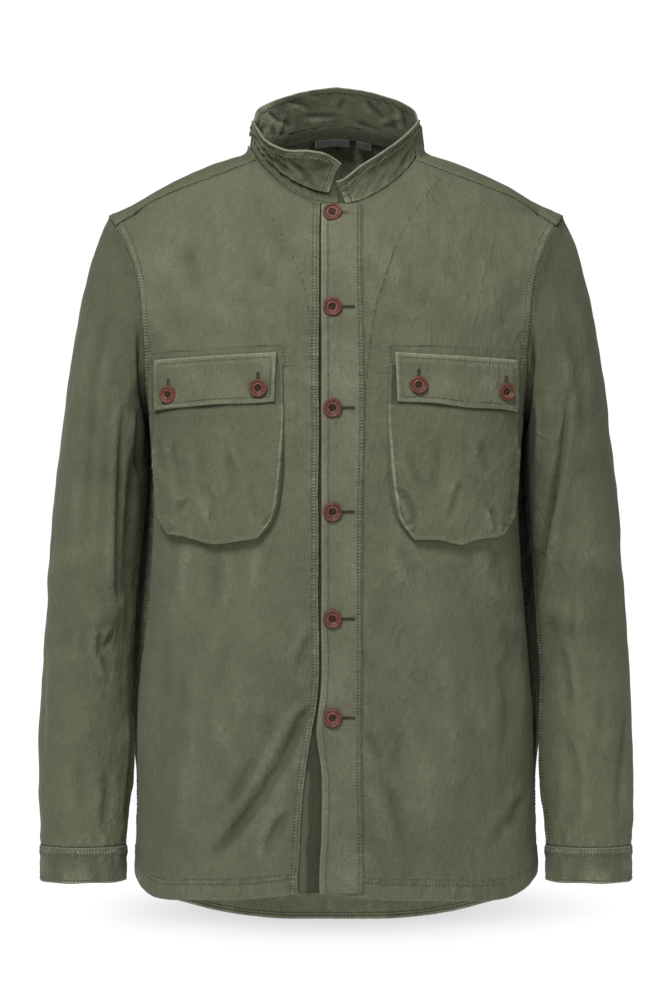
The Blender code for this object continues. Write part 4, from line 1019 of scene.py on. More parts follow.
def front(name, sign, starts, finish):
    """One front with its rows of stitches."""
    first = 180 - np.degrees(np.arcsin(starts(0.0) / NECK_WIDTH))
    neck = neck_ring(np.linspace(first, NECK_CORNER, 49))
    seam_x = np.linspace(NECK_POINT, YOKE_FRONT["x"][-1], 57)[1:]
    top_x = np.concatenate([neck[:, 0], seam_x])
    top_row = np.concatenate([neck[:, 2], yoke_front_z(seam_x)]) - SEAM
    points = half_panel(-1, top_x, top_row, starts, "front")
    side, hem, edge = edge_fields(points)
    top = run_length(points, 0)
    x = points[..., 0] * sign
    z = points[..., 2]
    right = sign < 0
    arm = side + FAR * ease((UNDERARM - z) / 0.03)
    calm = panel_calm(side, top, hem, 0.018)
    folds = fold_height(x, z, FOLDS_FRONT)
    lift = folds + (front_relief(x, z) - folds) * calm
    lift += band(arm, z, ARMHOLE_ROWS, 21) * ease(side / ROW_START)
    lift += band(hem, x, HEM_ROWS, 22)
    if right:
        lift += band(edge, z, EDGE_ROWS, 23) * 0.8
    facing, past = line_distance(x, z, FACING_RIGHT if right else FACING_LEFT)
    lift += LINE_LAY * ease(facing * -sign / 0.0015) * (1 - past) * calm
    facing = np.abs(facing) + FAR * past
    out = grid_normals(points)
    points = points + out * lift[..., None]
    wear = panel_wear(arm, hem)
    # painted shade in the front's troughs and painted highlight on its ridges, beside worn dye, and a painted
    # shadow along the neck seam under the collar
    wear += 0.30 * ridge_fade_and_trough_shade(lift) - 0.5 * bell(top, 0.007) * (np.abs(x) < NECK_POINT)
    wear += (edge_wear(edge) + 0.2 * bell(edge - 0.004, 0.003)) * right
    wear += 0.10 * ripple(x, z / 2, 0.07, 31) + 0.10
    patch_top, patch_side = patch_distance(x, z, PATCH_RIGHT if right else PATCH_LEFT)
    maps = {
        "seams": np.stack([arm, hem, edge + (0.0 if right else FAR)], axis=-1), "wear": wear,
        "lines": np.stack([facing, patch_top, patch_side], axis=-1),
    }
    points[..., 0] *= sign
    out[..., 0] *= sign
    made = cloth(name, points, maps, WALL, finish, flip=not right)
    beside_arm = slice(0, 65)
    for offset in ARMHOLE_ROWS:
        sew_level(name, (points, out), side, offset, rows=beside_arm)
    for offset in HEM_ROWS:
        sew_level(name, (points, out), hem, offset, 0)
    if right:
        for offset in EDGE_ROWS:
            sew_level(name, (points, out), edge, offset, rows=slice(2, None))
    return made


def patch_distance(x, z, rows, fade=0.002):
    """Distances from the level line and the inner upright line of the patch behind a flap, far past their
    ends."""
    top = rows[1:-1]
    inner_x = rows["x"][np.argmin(np.abs(rows["x"]))]
    beside = past_ends(x, rows["x"].min(), rows["x"].max(), fade)
    below = past_ends(z, rows["z"].min(), top["z"].max(), fade)
    level = np.abs(z - np.interp(x, top["x"], top["z"]))
    return level + FAR * beside, np.abs(x - inner_x) + FAR * below


def drawn_line(rows, samples=160):
    """A named line on a front as points and normals, straight between its rows."""
    t = np.linspace(0, len(rows) - 1, samples)
    x, z = (np.interp(t, np.arange(len(rows)), rows[axis]) for axis in "xz")
    return on_front(x, z, LINE_LAY)


def smooth_line(rows, samples=160):
    """The same through cubics, for curved seam lines."""
    grid = np.stack([rows["x"], rows["z"]], axis=-1)
    fine = refine(grid, samples // (len(rows) - 1), 0)
    return on_front(fine[:, 0], fine[:, 1], LINE_LAY)


def yoke_back_seam(columns):
    """Seam between yoke and back, from the centre to the armhole."""
    corner = ARM_MIDDLE + ARM_HALF * np.cos(np.radians(BACK_CORNER))
    x = np.linspace(0, curve(SILHOUETTE, "side", corner), columns)
    return x, YOKE_BACK + (corner - YOKE_BACK) * (x / x[-1]) ** 2


def back(finish, columns=82):
    """The back, two halves that share the centre line."""
    seam_x, seam_z = yoke_back_seam(columns)
    half = half_panel(1, seam_x, seam_z - SEAM, lambda _: 0.0, "back")
    behind = np.clip(half[..., 1] / SWELL_DEPTH, 0, 1)
    half[..., 0] += curve(BACK_FULLNESS, "out", half[..., 2]) * np.sin(np.pi * behind)
    side, hem, _ = edge_fields(half)
    top = run_length(half, 0)

    def both(field):
        return np.concatenate([field[:, :0:-1], field], axis=1)

    mirrored = half[:, :0:-1].copy()
    mirrored[..., 0] *= -1
    points = np.concatenate([mirrored, half], axis=1)
    side, hem, top = both(side), both(hem), both(top)
    x, z = points[..., 0], points[..., 2]
    out = -grid_normals(points)
    calm = panel_calm(side, top, hem, 0.020)
    lift = fold_height(x, z, FOLDS_BACK)
    lift += (CREASE_GAIN * crease_height(x, z, CREASES_BACK) + 1.2 * rumple(x, z, 9)) * calm
    lift += band(side, z, ARMHOLE_ROWS, 24) * ease(side / ROW_START) + band(hem, x, HEM_ROWS, 25)
    points = points + out * lift[..., None]
    wear = panel_wear(side, hem)
    # painted shade in the back's troughs and painted highlight on its ridges, beside worn dye
    wear += 0.30 * ridge_fade_and_trough_shade(lift) + 0.10 * ripple(x, z / 2, 0.07, 33) + 0.10
    maps = {"seams": np.stack([side, hem, np.full(side.shape, FAR)], axis=-1), "wear": wear}
    up = points[:1] - points[1:2]
    up *= BACK_TUCK / np.linalg.norm(up, axis=-1, keepdims=True)
    tucked = points[:1] + up - out[:1] * 1.3 * WALL
    maps = {key: np.concatenate([values[:1], values]) for key, values in maps.items()}
    made = cloth("back", np.concatenate([tucked, points]), maps, WALL, finish)
    for offset in ARMHOLE_ROWS:
        for part in (slice(0, columns - 1), slice(columns, None)):
            sew_level("back", (points, out), side, offset, columns=part)
    for offset in HEM_ROWS:
        sew_level("back", (points, out), hem, offset, 0)
    return made


def armhole_loop(around):
    """Armhole seam by angle: 0 at the shoulder tip, 90 degrees at the front, 180 at the underarm."""
    cosine = np.cos(around)
    z = ARM_MIDDLE + ARM_HALF * cosine
    y = NECK_MIDDLE * (1 + cosine) / 2 - ARMHOLE_DEPTH * np.sin(around)
    return np.stack([curve(SILHOUETTE, "side", z), y, z], axis=-1)


def yoke(finish, parts=(12, 6)):
    """The yoke: a coarse grid between its front edge and its back seam, laid over the shoulders, evened
    out, cut finer by cubics, and pulled onto the exact seams."""
    nodes = np.array([FRONT_CORNER, FRONT_CORNER / 2, 0.0, -FRONT_CORNER / 2, -FRONT_CORNER, -BACK_CORNER])
    seam_x = np.linspace(NECK_POINT, YOKE_FRONT["x"][-1], 8)[:0:-1]
    seam = np.stack([seam_x, body_y(seam_x, yoke_front_z(seam_x), -1)], axis=-1)
    angles = np.linspace(NECK_CORNER, 0.0, 10)
    edge = np.concatenate([seam, neck_ring(angles)[:, :2]])
    back_x, back_z = yoke_back_seam(len(edge))
    back_edge = np.stack([back_x, body_y(back_x, back_z, 1)], axis=-1)[::-1]
    blend = np.linspace(0, 1, len(nodes))[:, None, None]
    plan = edge * (1 - blend) + back_edge * blend
    half = np.concatenate([plan, over_shoulder(plan[..., 0], plan[..., 1])[..., None]], axis=-1)
    half[:, 0] = armhole_loop(np.radians(nodes))
    half[:, 0, 0] -= SEAM
    half[0, :, 2] += SEAM
    mirrored = half[:, -2::-1].copy()
    mirrored[..., 0] *= -1
    points = np.concatenate([half, mirrored], axis=1)
    for _ in range(4):
        around = points[:-2, 1:-1] + points[2:, 1:-1] + points[1:-1, :-2] + points[1:-1, 2:]
        points[1:-1, 1:-1] += (around / 4 - points[1:-1, 1:-1]) / 2
    return finish_yoke(refine(refine(points, parts[0], 0), parts[1], 1), nodes, parts, finish)


def finish_yoke(points, nodes, parts, finish):
    """Pull the fine yoke onto its seams, raise its bands and sew it."""
    middle = points.shape[1] // 2
    fine_x = refine(np.linspace(NECK_POINT, YOKE_FRONT["x"][-1], 8)[::-1][:, None, None], parts[1], 0)[:, 0, 0]
    seam = np.stack([fine_x, body_y(fine_x, yoke_front_z(fine_x), -1), yoke_front_z(fine_x)], axis=-1)
    ring = neck_ring(np.linspace(NECK_CORNER, 0.0, middle - len(fine_x) + 2))[1:]
    edge = np.concatenate([seam, ring])
    mirror = np.array([-1.0, 1.0, 1.0])
    edge = np.concatenate([edge, edge[-2::-1] * mirror]) + np.array([0.0, 0.0, SEAM])
    points = pull_edge(points, edge, 0, False, 0.3)
    fine_nodes = np.interp(np.linspace(0, len(nodes) - 1, len(points)), np.arange(len(nodes)), nodes)
    arm = armhole_loop(np.radians(fine_nodes)) - np.array([SEAM, 0.0, 0.0])
    points = pull_edge(points, arm, 1, False, 0.1)
    points = pull_edge(points, arm * mirror, 1, True, 0.1)
    back_x, back_z = yoke_back_seam(middle + 1)
    seam = np.stack([back_x, body_y(back_x, back_z, 1), back_z], axis=-1)
    points = pull_edge(points, np.concatenate([seam[:0:-1], seam * mirror]), 0, True, 0.3)
    out = grid_normals(points)
    out *= np.sign(out[len(out) // 2, middle // 2, 2])
    across = run_length(points, 1)
    down = run_length(points, 0)
    side = from_ends(across)
    on_seam = 1 - ease((np.abs(np.arange(points.shape[1]) - middle) - (middle - 8 * parts[1])) / -2.0)
    from_front = down + FAR * (1 - on_seam)
    from_back = down[-1:] - down
    u, v = points[..., 0], down
    lift = band(side, v, ARMHOLE_ROWS, 41) * ease(side / ROW_START)
    lift += band(from_front, u, YOKE_ROWS, 42) * ease(from_front / 0.0004)
    lift += band(from_back, u, YOKE_ROWS, 43)
    inner = ease(np.minimum(np.minimum(side, down), from_back) / 0.012)
    lift += 0.8 * rumple(u, v, 44) * inner
    points = points + out * lift[..., None]
    wear = edge_wear(side) + edge_wear(from_front) + edge_wear(from_back)
    wear += 0.25 * bell(side - BETWEEN_ROWS, 0.004) + 0.40 * bell(from_front - 0.005, 0.005)
    # painted shade in the yoke's troughs and painted highlight on its ridges, beside worn dye
    wear += 0.10 * ripple(u, v, 0.07, 45) + 0.18 + 0.25 * ridge_fade_and_trough_shade(lift)
    maps = {"seams": np.stack([side, from_front, from_back], axis=-1), "wear": wear}
    made = cloth("yoke", points, maps, WALL, finish)
    columns = 7 * parts[1]
    for offset in YOKE_ROWS:
        for part in (slice(0, columns), slice(-columns, None)):
            sew_level("yoke", (points, out), down, offset, 0, columns=part)
        sew_level("yoke", (points, out), from_back, offset, 0)
    for offset in ARMHOLE_ROWS:
        for part in (slice(0, middle), slice(middle, None)):
            sew_level("yoke", (points, out), side, offset, columns=part)
    return made


# ---------------------------------------------------------------- sleeves and cuffs

def sleeve_points(along, around):
    """Sleeve surface: tilted ovals between an outer and an inner line, starting as the armhole loop."""
    outer_z = curve(SLEEVE_COURSE, "outer_z", along)
    inner_z = curve(SLEEVE_COURSE, "inner_z", along)
    outer_x = curve(SLEEVE_OUTER, "x", outer_z)
    inner_x = curve(SLEEVE_INNER, "x", inner_z)
    cosine = np.cos(around)
    x = (outer_x + inner_x) / 2 + (outer_x - inner_x) / 2 * cosine
    y = curve(SLEEVE_COURSE, "middle", along) - curve(SLEEVE_COURSE, "depth", along) * np.sin(around)
    z = (outer_z + inner_z) / 2 + (outer_z - inner_z) / 2 * cosine
    tip = SLEEVE_OUTER["x"][-1]
    pit = SLEEVE_INNER["x"][-1]
    plain = np.stack([
        (tip + pit) / 2 + (tip - pit) / 2 * cosine,
        -ARMHOLE_DEPTH * np.sin(around),
        ARM_MIDDLE + ARM_HALF * cosine], axis=-1)
    fade = (1 - ease(along / LOOP_REACH))[..., None]
    return np.stack([x, y, z], axis=-1) + (armhole_loop(around) - plain) * fade


def sleeve(name, sign, creases, finish, rings=200, sides=120):
    """One sleeve with its creases and its felled inner seam."""
    place = np.linspace(0, 1, rings) ** SLEEVE_SPACING
    place[0] = SLEEVE_START
    s, a = np.meshgrid(place, circle(sides), indexing="ij")
    points = sleeve_points(s, a)
    inward = -grid_normals(points, True)
    half_way = points[rings // 2]
    inward *= np.sign((inward[rings // 2, 0] * (half_way.mean(axis=0) - half_way[0])).sum())
    depth = np.zeros(s.shape)
    for fold in FOLDS_SLEEVE:
        turn_off = np.angle(np.exp(1j * (a - fold["around"])))
        lean = s - fold["along"] + FOLD_LEAN * turn_off
        depth += fold["height"] * bell(lean, fold["width_along"]) * bell(turn_off, fold["width_around"])
    down = run_length(points, 0)
    length = down[-1].mean()
    girth = run_length(np.concatenate([points, points[:, :1]], axis=1), 1)[:, -1]
    radius = (girth / (2 * np.pi))[:, None]
    degrees = np.degrees(a)
    low = down[-1:] - down
    calm = ease(down / 0.014) * ease(low / 0.006)
    fine = np.zeros(s.shape)
    for row in creases:
        along0, around0, along1, around1, *shape = row
        ends = (along0 * length, np.radians(around0), along1 * length, np.radians(around1), *shape)
        fine += CREASE_GAIN * crease_height(s * length, a, [ends], radius)
    fine += 1.3 * rumple(np.sin(a) * 0.055 + np.cos(a) * 0.031, s * length, 50 + int(sign))
    inseam = np.abs(degrees - INSEAM_ANGLE) / 180 * np.pi * radius
    lift = -depth - fine * calm
    lift += 1.2 * BAND_HEIGHT * (1 - ease((inseam - 0.004) / 0.002)) * calm
    lift += 0.5 * pucker(s * length, inseam * 0.3, 52, 2 * PUCKER_SIZE) * bell(inseam, 0.009) * calm
    tucked = ease((degrees - 88.0) / 30.0) * ease((186.0 - degrees) / 14.0)
    lift -= UNDERARM_FOLD * bell(down - 0.0095 - 0.004 * tucked, 0.0075) * tucked * ease(down / 0.003)
    lift += pucker(a * radius, low * 0.3, 53) * bell(low, 0.010) * ease(low / 0.003)
    lift += pucker(a * radius, down * 0.3, 54) * bell(down, 0.012) * ease(down / 0.003)
    points = points - inward * lift[..., None]
    points[-1, :, 2] += SEAM
    wear = 0.35 * bell(inseam, 0.0045) + 0.2 * bell(low, 0.003)
    # painted shade in the sleeve's troughs and painted highlight on its ridges, beside worn dye
    wear += 0.10 * ripple(s * length / 2, np.sin(a) * 0.06, 0.07, 55) + 0.10 + 0.22 * ridge_fade_and_trough_shade(lift)
    maps = {"seams": np.stack([inseam, low, down], axis=-1), "wear": wear}
    out = -inward
    points[..., 0] *= sign
    out[..., 0] *= sign
    made = cloth(name, points, maps, WALL, finish, wrap=True, flip=sign < 0)
    column, part = divmod((INSEAM_ANGLE + INSEAM_STITCHES) / 360 * sides, 1)
    column = int(column)
    line = points[3:-2, column] * (1 - part) + points[3:-2, column + 1] * part
    sew(name, line, out[3:-2, column])
    return made


def cuff(name, sign, finish, rows=22, sides=132):
    """Plain cuff band, a little proud of the sleeve above it."""
    turn = circle(sides)
    ring = sleeve_points(np.ones((1, sides)), turn[None, :])
    centre = ring.mean(axis=1, keepdims=True)
    t = np.linspace(0, 1, rows)[:, None]
    grow = CUFF_GROW[0] + (CUFF_GROW[1] - CUFF_GROW[0]) * t
    points = centre + (ring - centre) * grow[..., None]
    points[..., 2] = CUFF_TOP + (CUFF_BOTTOM - CUFF_TOP) * t
    a = turn[None, :] + np.zeros(points.shape[:2])
    out = -grid_normals(points, True)
    out *= np.sign((out[1, 0] * (points[1, 0] - points[1].mean(axis=0))).sum())
    down = run_length(points, 0)
    low = down[-1:] - down
    lift = band(down, a * 0.042, CUFF_ROWS, 61) * 0.8 * ease(down / 0.001)
    lift += 0.00035 * ripple(a * 0.042 + down * 0.7, down, 0.014, 62) * ease(down / 0.004)
    lift += -0.0005 * (1 - ease(low / 0.002))
    points = points + out * lift[..., None]
    points[-1, :, 2] += 0.0005 * ripple(turn * 0.042, turn * 0, 0.030, 63)
    wear = edge_wear(low) + edge_wear(down) + 0.2 * bell(down - 0.0045, 0.002) + 0.2
    wear += 0.2 * ripple(a * 0.042, down, 0.03, 64)
    maps = {"seams": np.stack([down, low, np.full(down.shape, FAR)], axis=-1), "wear": wear}
    points[..., 0] *= sign
    out[..., 0] *= sign
    made = cloth(name, points, maps, DOUBLE_WALL, finish, wrap=True, flip=sign < 0)
    for field, offset in ((down, CUFF_ROWS[0]), (down, CUFF_ROWS[1]), (low, CUFF_BOTTOM_ROW)):
        line, up = level_line(points, out, field, offset, 0)
        sew(name, np.concatenate([line, line[:1]]), np.concatenate([up, up[:1]]))
    return made


# ---------------------------------------------------------------- collar and labels

def collar_height(angle):
    """Height of the free edge over the neck seam."""
    right = curve(COLLAR, "rise_right", np.abs(angle))
    left = curve(COLLAR, "rise_left", np.abs(angle))
    return np.where(angle > 0, right, left)


def collar_points(angle, rise, inset):
    """Points above the neck seam: up by rise, in by inset, flaring with the square of the height."""
    turn = np.radians(angle)
    out = np.stack([np.sin(turn), np.cos(turn), np.zeros(turn.shape)], axis=-1)
    height = collar_height(angle)
    flare = curve(COLLAR, "flare", np.abs(angle)) * (rise / height) ** 2
    tuck = COLLAR_TUCK * ease((TUCK_FROM - angle) / TUCK_SPAN)
    lean = COLLAR_LEAN * np.sin(np.pi * np.clip(rise / height, 0, 1))
    behind = COLLAR_BEHIND * np.clip(-np.cos(turn), 0, 1)
    rolled = ease((-112.0 - angle) / 30.0) * (1 - 0.8 * ease((-171.0 - angle) / 9.0))
    flare = flare + COLLAR_ROLL * rolled * np.clip(rise / height, 0, 1) ** 1.6
    creases = crease_height(angle, rise * 1000, collar_creases()) * ease(rise / 0.004)
    shift = flare - inset - tuck - lean - behind + creases
    return neck_ring(angle) + out * shift[..., None] + np.array([0.0, 0.0, 1.0]) * rise[..., None]


def collar_creases():
    """The collar's creases with heights in millimetres, so that both directions have like units."""
    rows = CREASES_COLLAR.copy()
    rows["z0"] *= 1000
    rows["z1"] *= 1000
    return rows


def collar_band(left, right, rise, inset, rows, columns=260):
    """A strip of the collar between two heights, its ends at given angles, with distances from its seam, its
    free edge and its ends."""
    part = np.linspace(0, 1, rows)[:, None]
    across = np.linspace(0, 1, columns)[None, :]
    angle = left(part) + (right(part) - left(part)) * across
    height = rise(angle, part)
    points = collar_points(angle, height, inset(angle, height))
    down = run_length(points, 0)
    across = run_length(points, 1)
    return points, angle, down, down[-1:] - down, from_ends(across)


def collar_stand(finish):
    """Band that rises from the neckline; its right end passes the middle under the placket's top."""
    points, angle, down, free, end = collar_band(
        lambda part: STAND_LEFT_END + 0 * part, lambda part: COLLAR_RIGHT_END + 0 * part,
        lambda angle, part: -0.0004 + COLLAR_STAND * part + 0 * angle,
        lambda angle, height: COLLAR_INSET + 0 * angle, 9)
    out = -grid_normals(points)
    lift = pucker(run_length(points, 1), down * 0.3, 71) * ease(down / 0.003)
    points = points + out * lift[..., None]
    shaded = ease((np.abs(angle) - 95.0) / 30.0)
    sunk_shade = ease(down / 0.002) * ease((down - 0.013) / -0.008)
    # painted shadow of the leaf on the stand's front part; on the stand's inside, painted light round 63
    # degrees to the wearer's right and painted shade low down
    maps = {"seams": np.stack([down, free + 0.001, end], axis=-1),
            "wear": 0.4 * bell(down - 0.001, 0.002) + 0.1 - 0.5 * shaded * ease((down - 0.003) / 0.006),
            "inside_painted_shading": -0.30 + 0.9 * bell(angle - PAINTED_LIGHT_AT, 20.0) - 0.5 * sunk_shade}
    made = cloth("collar_stand_cloth", points, maps, DOUBLE_WALL, finish, flip=True)
    sew_level("collar", (points, out), down, STAND_ROW, 0)
    return made


def leaf_start(angle):
    """Height at which the leaf starts: level with the stand behind the neck, hanging over it in front."""
    ahead = ease((np.abs(angle) - 62.0) / 40.0)
    hangs = np.where(angle > 0, LEAF_HANGS_RIGHT, LEAF_HANGS_LEFT)
    return COLLAR_STAND - 0.0006 + (hangs - COLLAR_STAND) * ahead


def leaf_inset(angle, height):
    """The leaf lies outside the stand in front, and comes back in line above it."""
    ahead = ease((np.abs(angle) - 55.0) / 30.0)
    over = 1 - ease((height - COLLAR_STAND) / 0.012)
    return COLLAR_INSET - LEAF_OUT * ahead * over


def crease_fade_and_shade(angle, down, rim):
    """Painted highlight and painted shade of the leaf's creases, with worn dye on their ridges, calm at its
    rim.
    """
    height = crease_height(angle, (down + COLLAR_STAND) * 1000, collar_creases())
    return ridge_fade_and_trough_shade(height) * ease(rim / 0.004)


def collar_leaf(finish):
    """Turned-up leaf; its two ends are cut at a slant and pass behind each other."""
    points, angle, down, free, end = collar_band(
        lambda part: COLLAR_LEFT_END - COLLAR_LEFT_SLANT * part,
        lambda part: COLLAR_RIGHT_END + COLLAR_RIGHT_SLANT * part,
        lambda angle, part: leaf_start(angle) + (collar_height(angle) - leaf_start(angle)) * part,
        leaf_inset, 34)
    out = -grid_normals(points)
    rim = np.minimum(free, end)
    swell = 0.0005 * bell(rim - 0.0035, 0.0025) * ease(rim / 0.002)
    along = run_length(points, 1)
    ahead = ease((np.abs(angle) - 62.0) / 20.0)
    lift = swell + pucker(along, down * 0.3, 72) * bell(rim - 0.006, 0.006) * (0.10 + 0.90 * ease(rim / 0.005))
    lift += 1.4 * pucker(along, down * 0.4, 73, 1.3 * PUCKER_SIZE) * bell(down, 0.010) * ahead
    lift += 0.9 * rumple(along, down * 2, 74) * ease(rim / 0.006)
    points = points + out * lift[..., None]
    wear = 1.2 * edge_wear(rim) + 0.2 * bell(rim - 0.004, 0.003) + 0.15 + 0.5 * edge_wear(down) * ahead
    crease_shading = crease_fade_and_shade(angle, down, rim)
    # painted shade and highlight of the creases, and painted light on the leaf's right end
    wear += 0.12 * ripple(along, down, 0.03, 75) + 0.35 * crease_shading + 0.10 * ease((angle - 105.0) / 15.0)
    # painted shade on the left leaf away from its rim
    wear -= 0.45 * ease((-110.0 - angle) / 20.0) * ease((rim - 0.004) / 0.006)
    # painted shading of the collar's inside: painted light round 63 degrees to the wearer's right, painted
    # shade in its creases
    inside_painted_shading = 0.08 + bell(angle - PAINTED_LIGHT_AT, 20.0) - np.where(crease_shading > 0, 1.0, 0.30) * crease_shading
    inside_painted_shading += 0.10 * ripple(along, down, 0.03, 76)
    maps = {"seams": np.stack([rim, down + FAR * (1 - ahead), end + FAR], axis=-1), "wear": wear,
            "inside_painted_shading": inside_painted_shading}
    made = cloth("collar_leaf_cloth", points, maps, DOUBLE_WALL, finish, flip=True)
    middle = angle.mean(axis=0)
    tops = [level_line(points[:, part], out[:, part], free[:, part], COLLAR_ROW, 0)
            for part in ((middle > low) & (middle < high) for low, high in COLLAR_ROW_PARTS)]
    ends = [level_line(points[6:-6, part], out[6:-6, part], end[6:-6, part], COLLAR_ROW)
            for part in (slice(0, 40), slice(-40, None))]
    for path, normal in tops + ends:
        sew("collar", path, normal)
        sew("collar_inside", path - normal * (DOUBLE_WALL + 0.0001), -normal)
    return made


def label(name, x0, x1, finish, columns=26, rows=10):
    """Bare woven label at the back of the neck, inside, with a slight curl."""
    x = np.linspace(x0, x1, columns)
    angle = np.degrees(np.arcsin(x / NECK_WIDTH))[None, :] + np.zeros((rows, 1))
    part = np.linspace(0, 1, rows)[:, None]
    rise = LABEL_RISE[0] + (LABEL_RISE[1] - LABEL_RISE[0]) * part + np.zeros((1, columns))
    points = collar_points(angle, rise, COLLAR_INSET + DOUBLE_WALL + LABEL_LAY)
    down = run_length(points, 0)
    seams = [from_ends(run_length(points, 1)), from_ends(down, 0), np.full(down.shape, FAR)]
    maps = {"seams": np.stack(seams, axis=-1), "wear": 0.0 * down}
    return cloth(name, points, maps, LABEL_WALL, finish, flip=True)


# ---------------------------------------------------------------- closure

def strip_levels(trim_top, trim_bottom, rows=300):
    """Row heights of a front at its centre, for strips that run down it."""
    top = neck_ring(np.array([180.0]))[0, 2] - SEAM - trim_top
    bottom = hem_drop(HEM_LEVEL, curve(HEM, "front", 0.0)) + trim_bottom
    return np.linspace(top, bottom, rows)[:, None]


def placket(finish, columns=19):
    """Folded strip on the left front's edge, with its three rows of stitches."""
    z = strip_levels(*PLACKET_TRIM)
    part = np.linspace(0, 1, columns)[None, :]
    waver = (curve(PLACKET_WAVER, "left", z) + 0.0003 * ripple(z, z * 0, 0.050, 81)) * (1 - part)
    waver += curve(PLACKET_WAVER, "right", z) * part
    x = -PLACKET_EDGE + PLACKET_WIDTH * part + waver
    z = z + np.zeros(x.shape)
    left = x - x[:, :1]
    right = x[:, -1:] - x
    down = z[:1] - z
    edge = np.minimum(left, right)
    lift = 0.25 * pucker(x * 0.5, z, 82, 0.014) * ease(edge / 0.002) + 0.0003 * ripple(x, z, 0.035, 83)
    lift += pucker(z, right * 0.3, 84) * bell(right - 0.003, 0.004)
    lift += 0.8 * pucker(z, left * 0.3, 85) * bell(left - 0.005, 0.005)
    for button_z in FRONT_BUTTONS:
        lift -= button_dip(x, z, BUTTON_LINE, button_z)
    lift = np.maximum(lift, -LAY)
    inner = front_points(x, z, LAY)
    outer, out = on_front(x, z, LAY + DOUBLE_WALL + lift - folded_edge(edge))
    wear = 1.1 * edge_wear(left) + 0.5 * edge_wear(right) + 0.2 * bell(left - 0.004, 0.002) + 0.2
    wear += 0.18 * ripple(x, z / 2, 0.05, 86)
    maps = {"seams": np.stack([right, left, down], axis=-1), "wear": wear}
    made = slab("placket", inner, outer, maps, finish)
    for field, offset in ((right, PLACKET_ROWS[0]), (right, PLACKET_ROWS[1]), (left, PLACKET_INNER_ROW)):
        sew_level("placket", (outer, out), field, offset)
    return made


def button_stand(finish, columns=12, rows=220):
    """Underlap of the right front, just inside both fronts' edges."""
    z = strip_levels(*STAND_TRIM, rows)
    tucked = curve(FRONT_EDGE, "x", z) + STAND_TUCK
    part = np.linspace(0, 1, columns)[None, :]
    x = -tucked + (tucked + STAND_REACH) * part
    z = z + np.zeros(x.shape)
    inner = front_points(x, z, -WALL - STAND_LAY - WALL)
    loose = ease((FRONT_BUTTONS[-1] - 0.020 - z) / 0.050)
    bulge = 0.0008 * bell(x + 0.0285, 0.0035) - 0.0012 * bell(x + 0.0205, 0.0030)
    outer = front_points(x, z, -WALL - STAND_LAY + bulge * loose)
    end = x[:, -1:] - x
    shade_from = STAND_SHADE + 0.0035 * ripple(z, 0 * z, 0.060, 87)
    # painted shade: darker towards the placket's edge, which overhangs the underlap, and darker above the last
    # button, where the placket covers it
    wear = 0.12 - 1.3 * ease((x - shade_from) / 0.0060) - 0.35 * (1 - loose)
    maps = {"seams": np.stack([end, np.full(x.shape, FAR), np.full(x.shape, FAR)], axis=-1), "wear": wear}
    return slab("button_stand", inner, outer, maps, finish)


# ---------------------------------------------------------------- pockets

def turned_edge(count, share):
    """Even parts from 0 to 1, then close ones over the last share of the way, where the edge turns in."""
    turn = 1 - np.linspace(0, 1, 6)[::-1] * share
    return np.concatenate([np.linspace(0, turn[0], count)[:-1], turn])


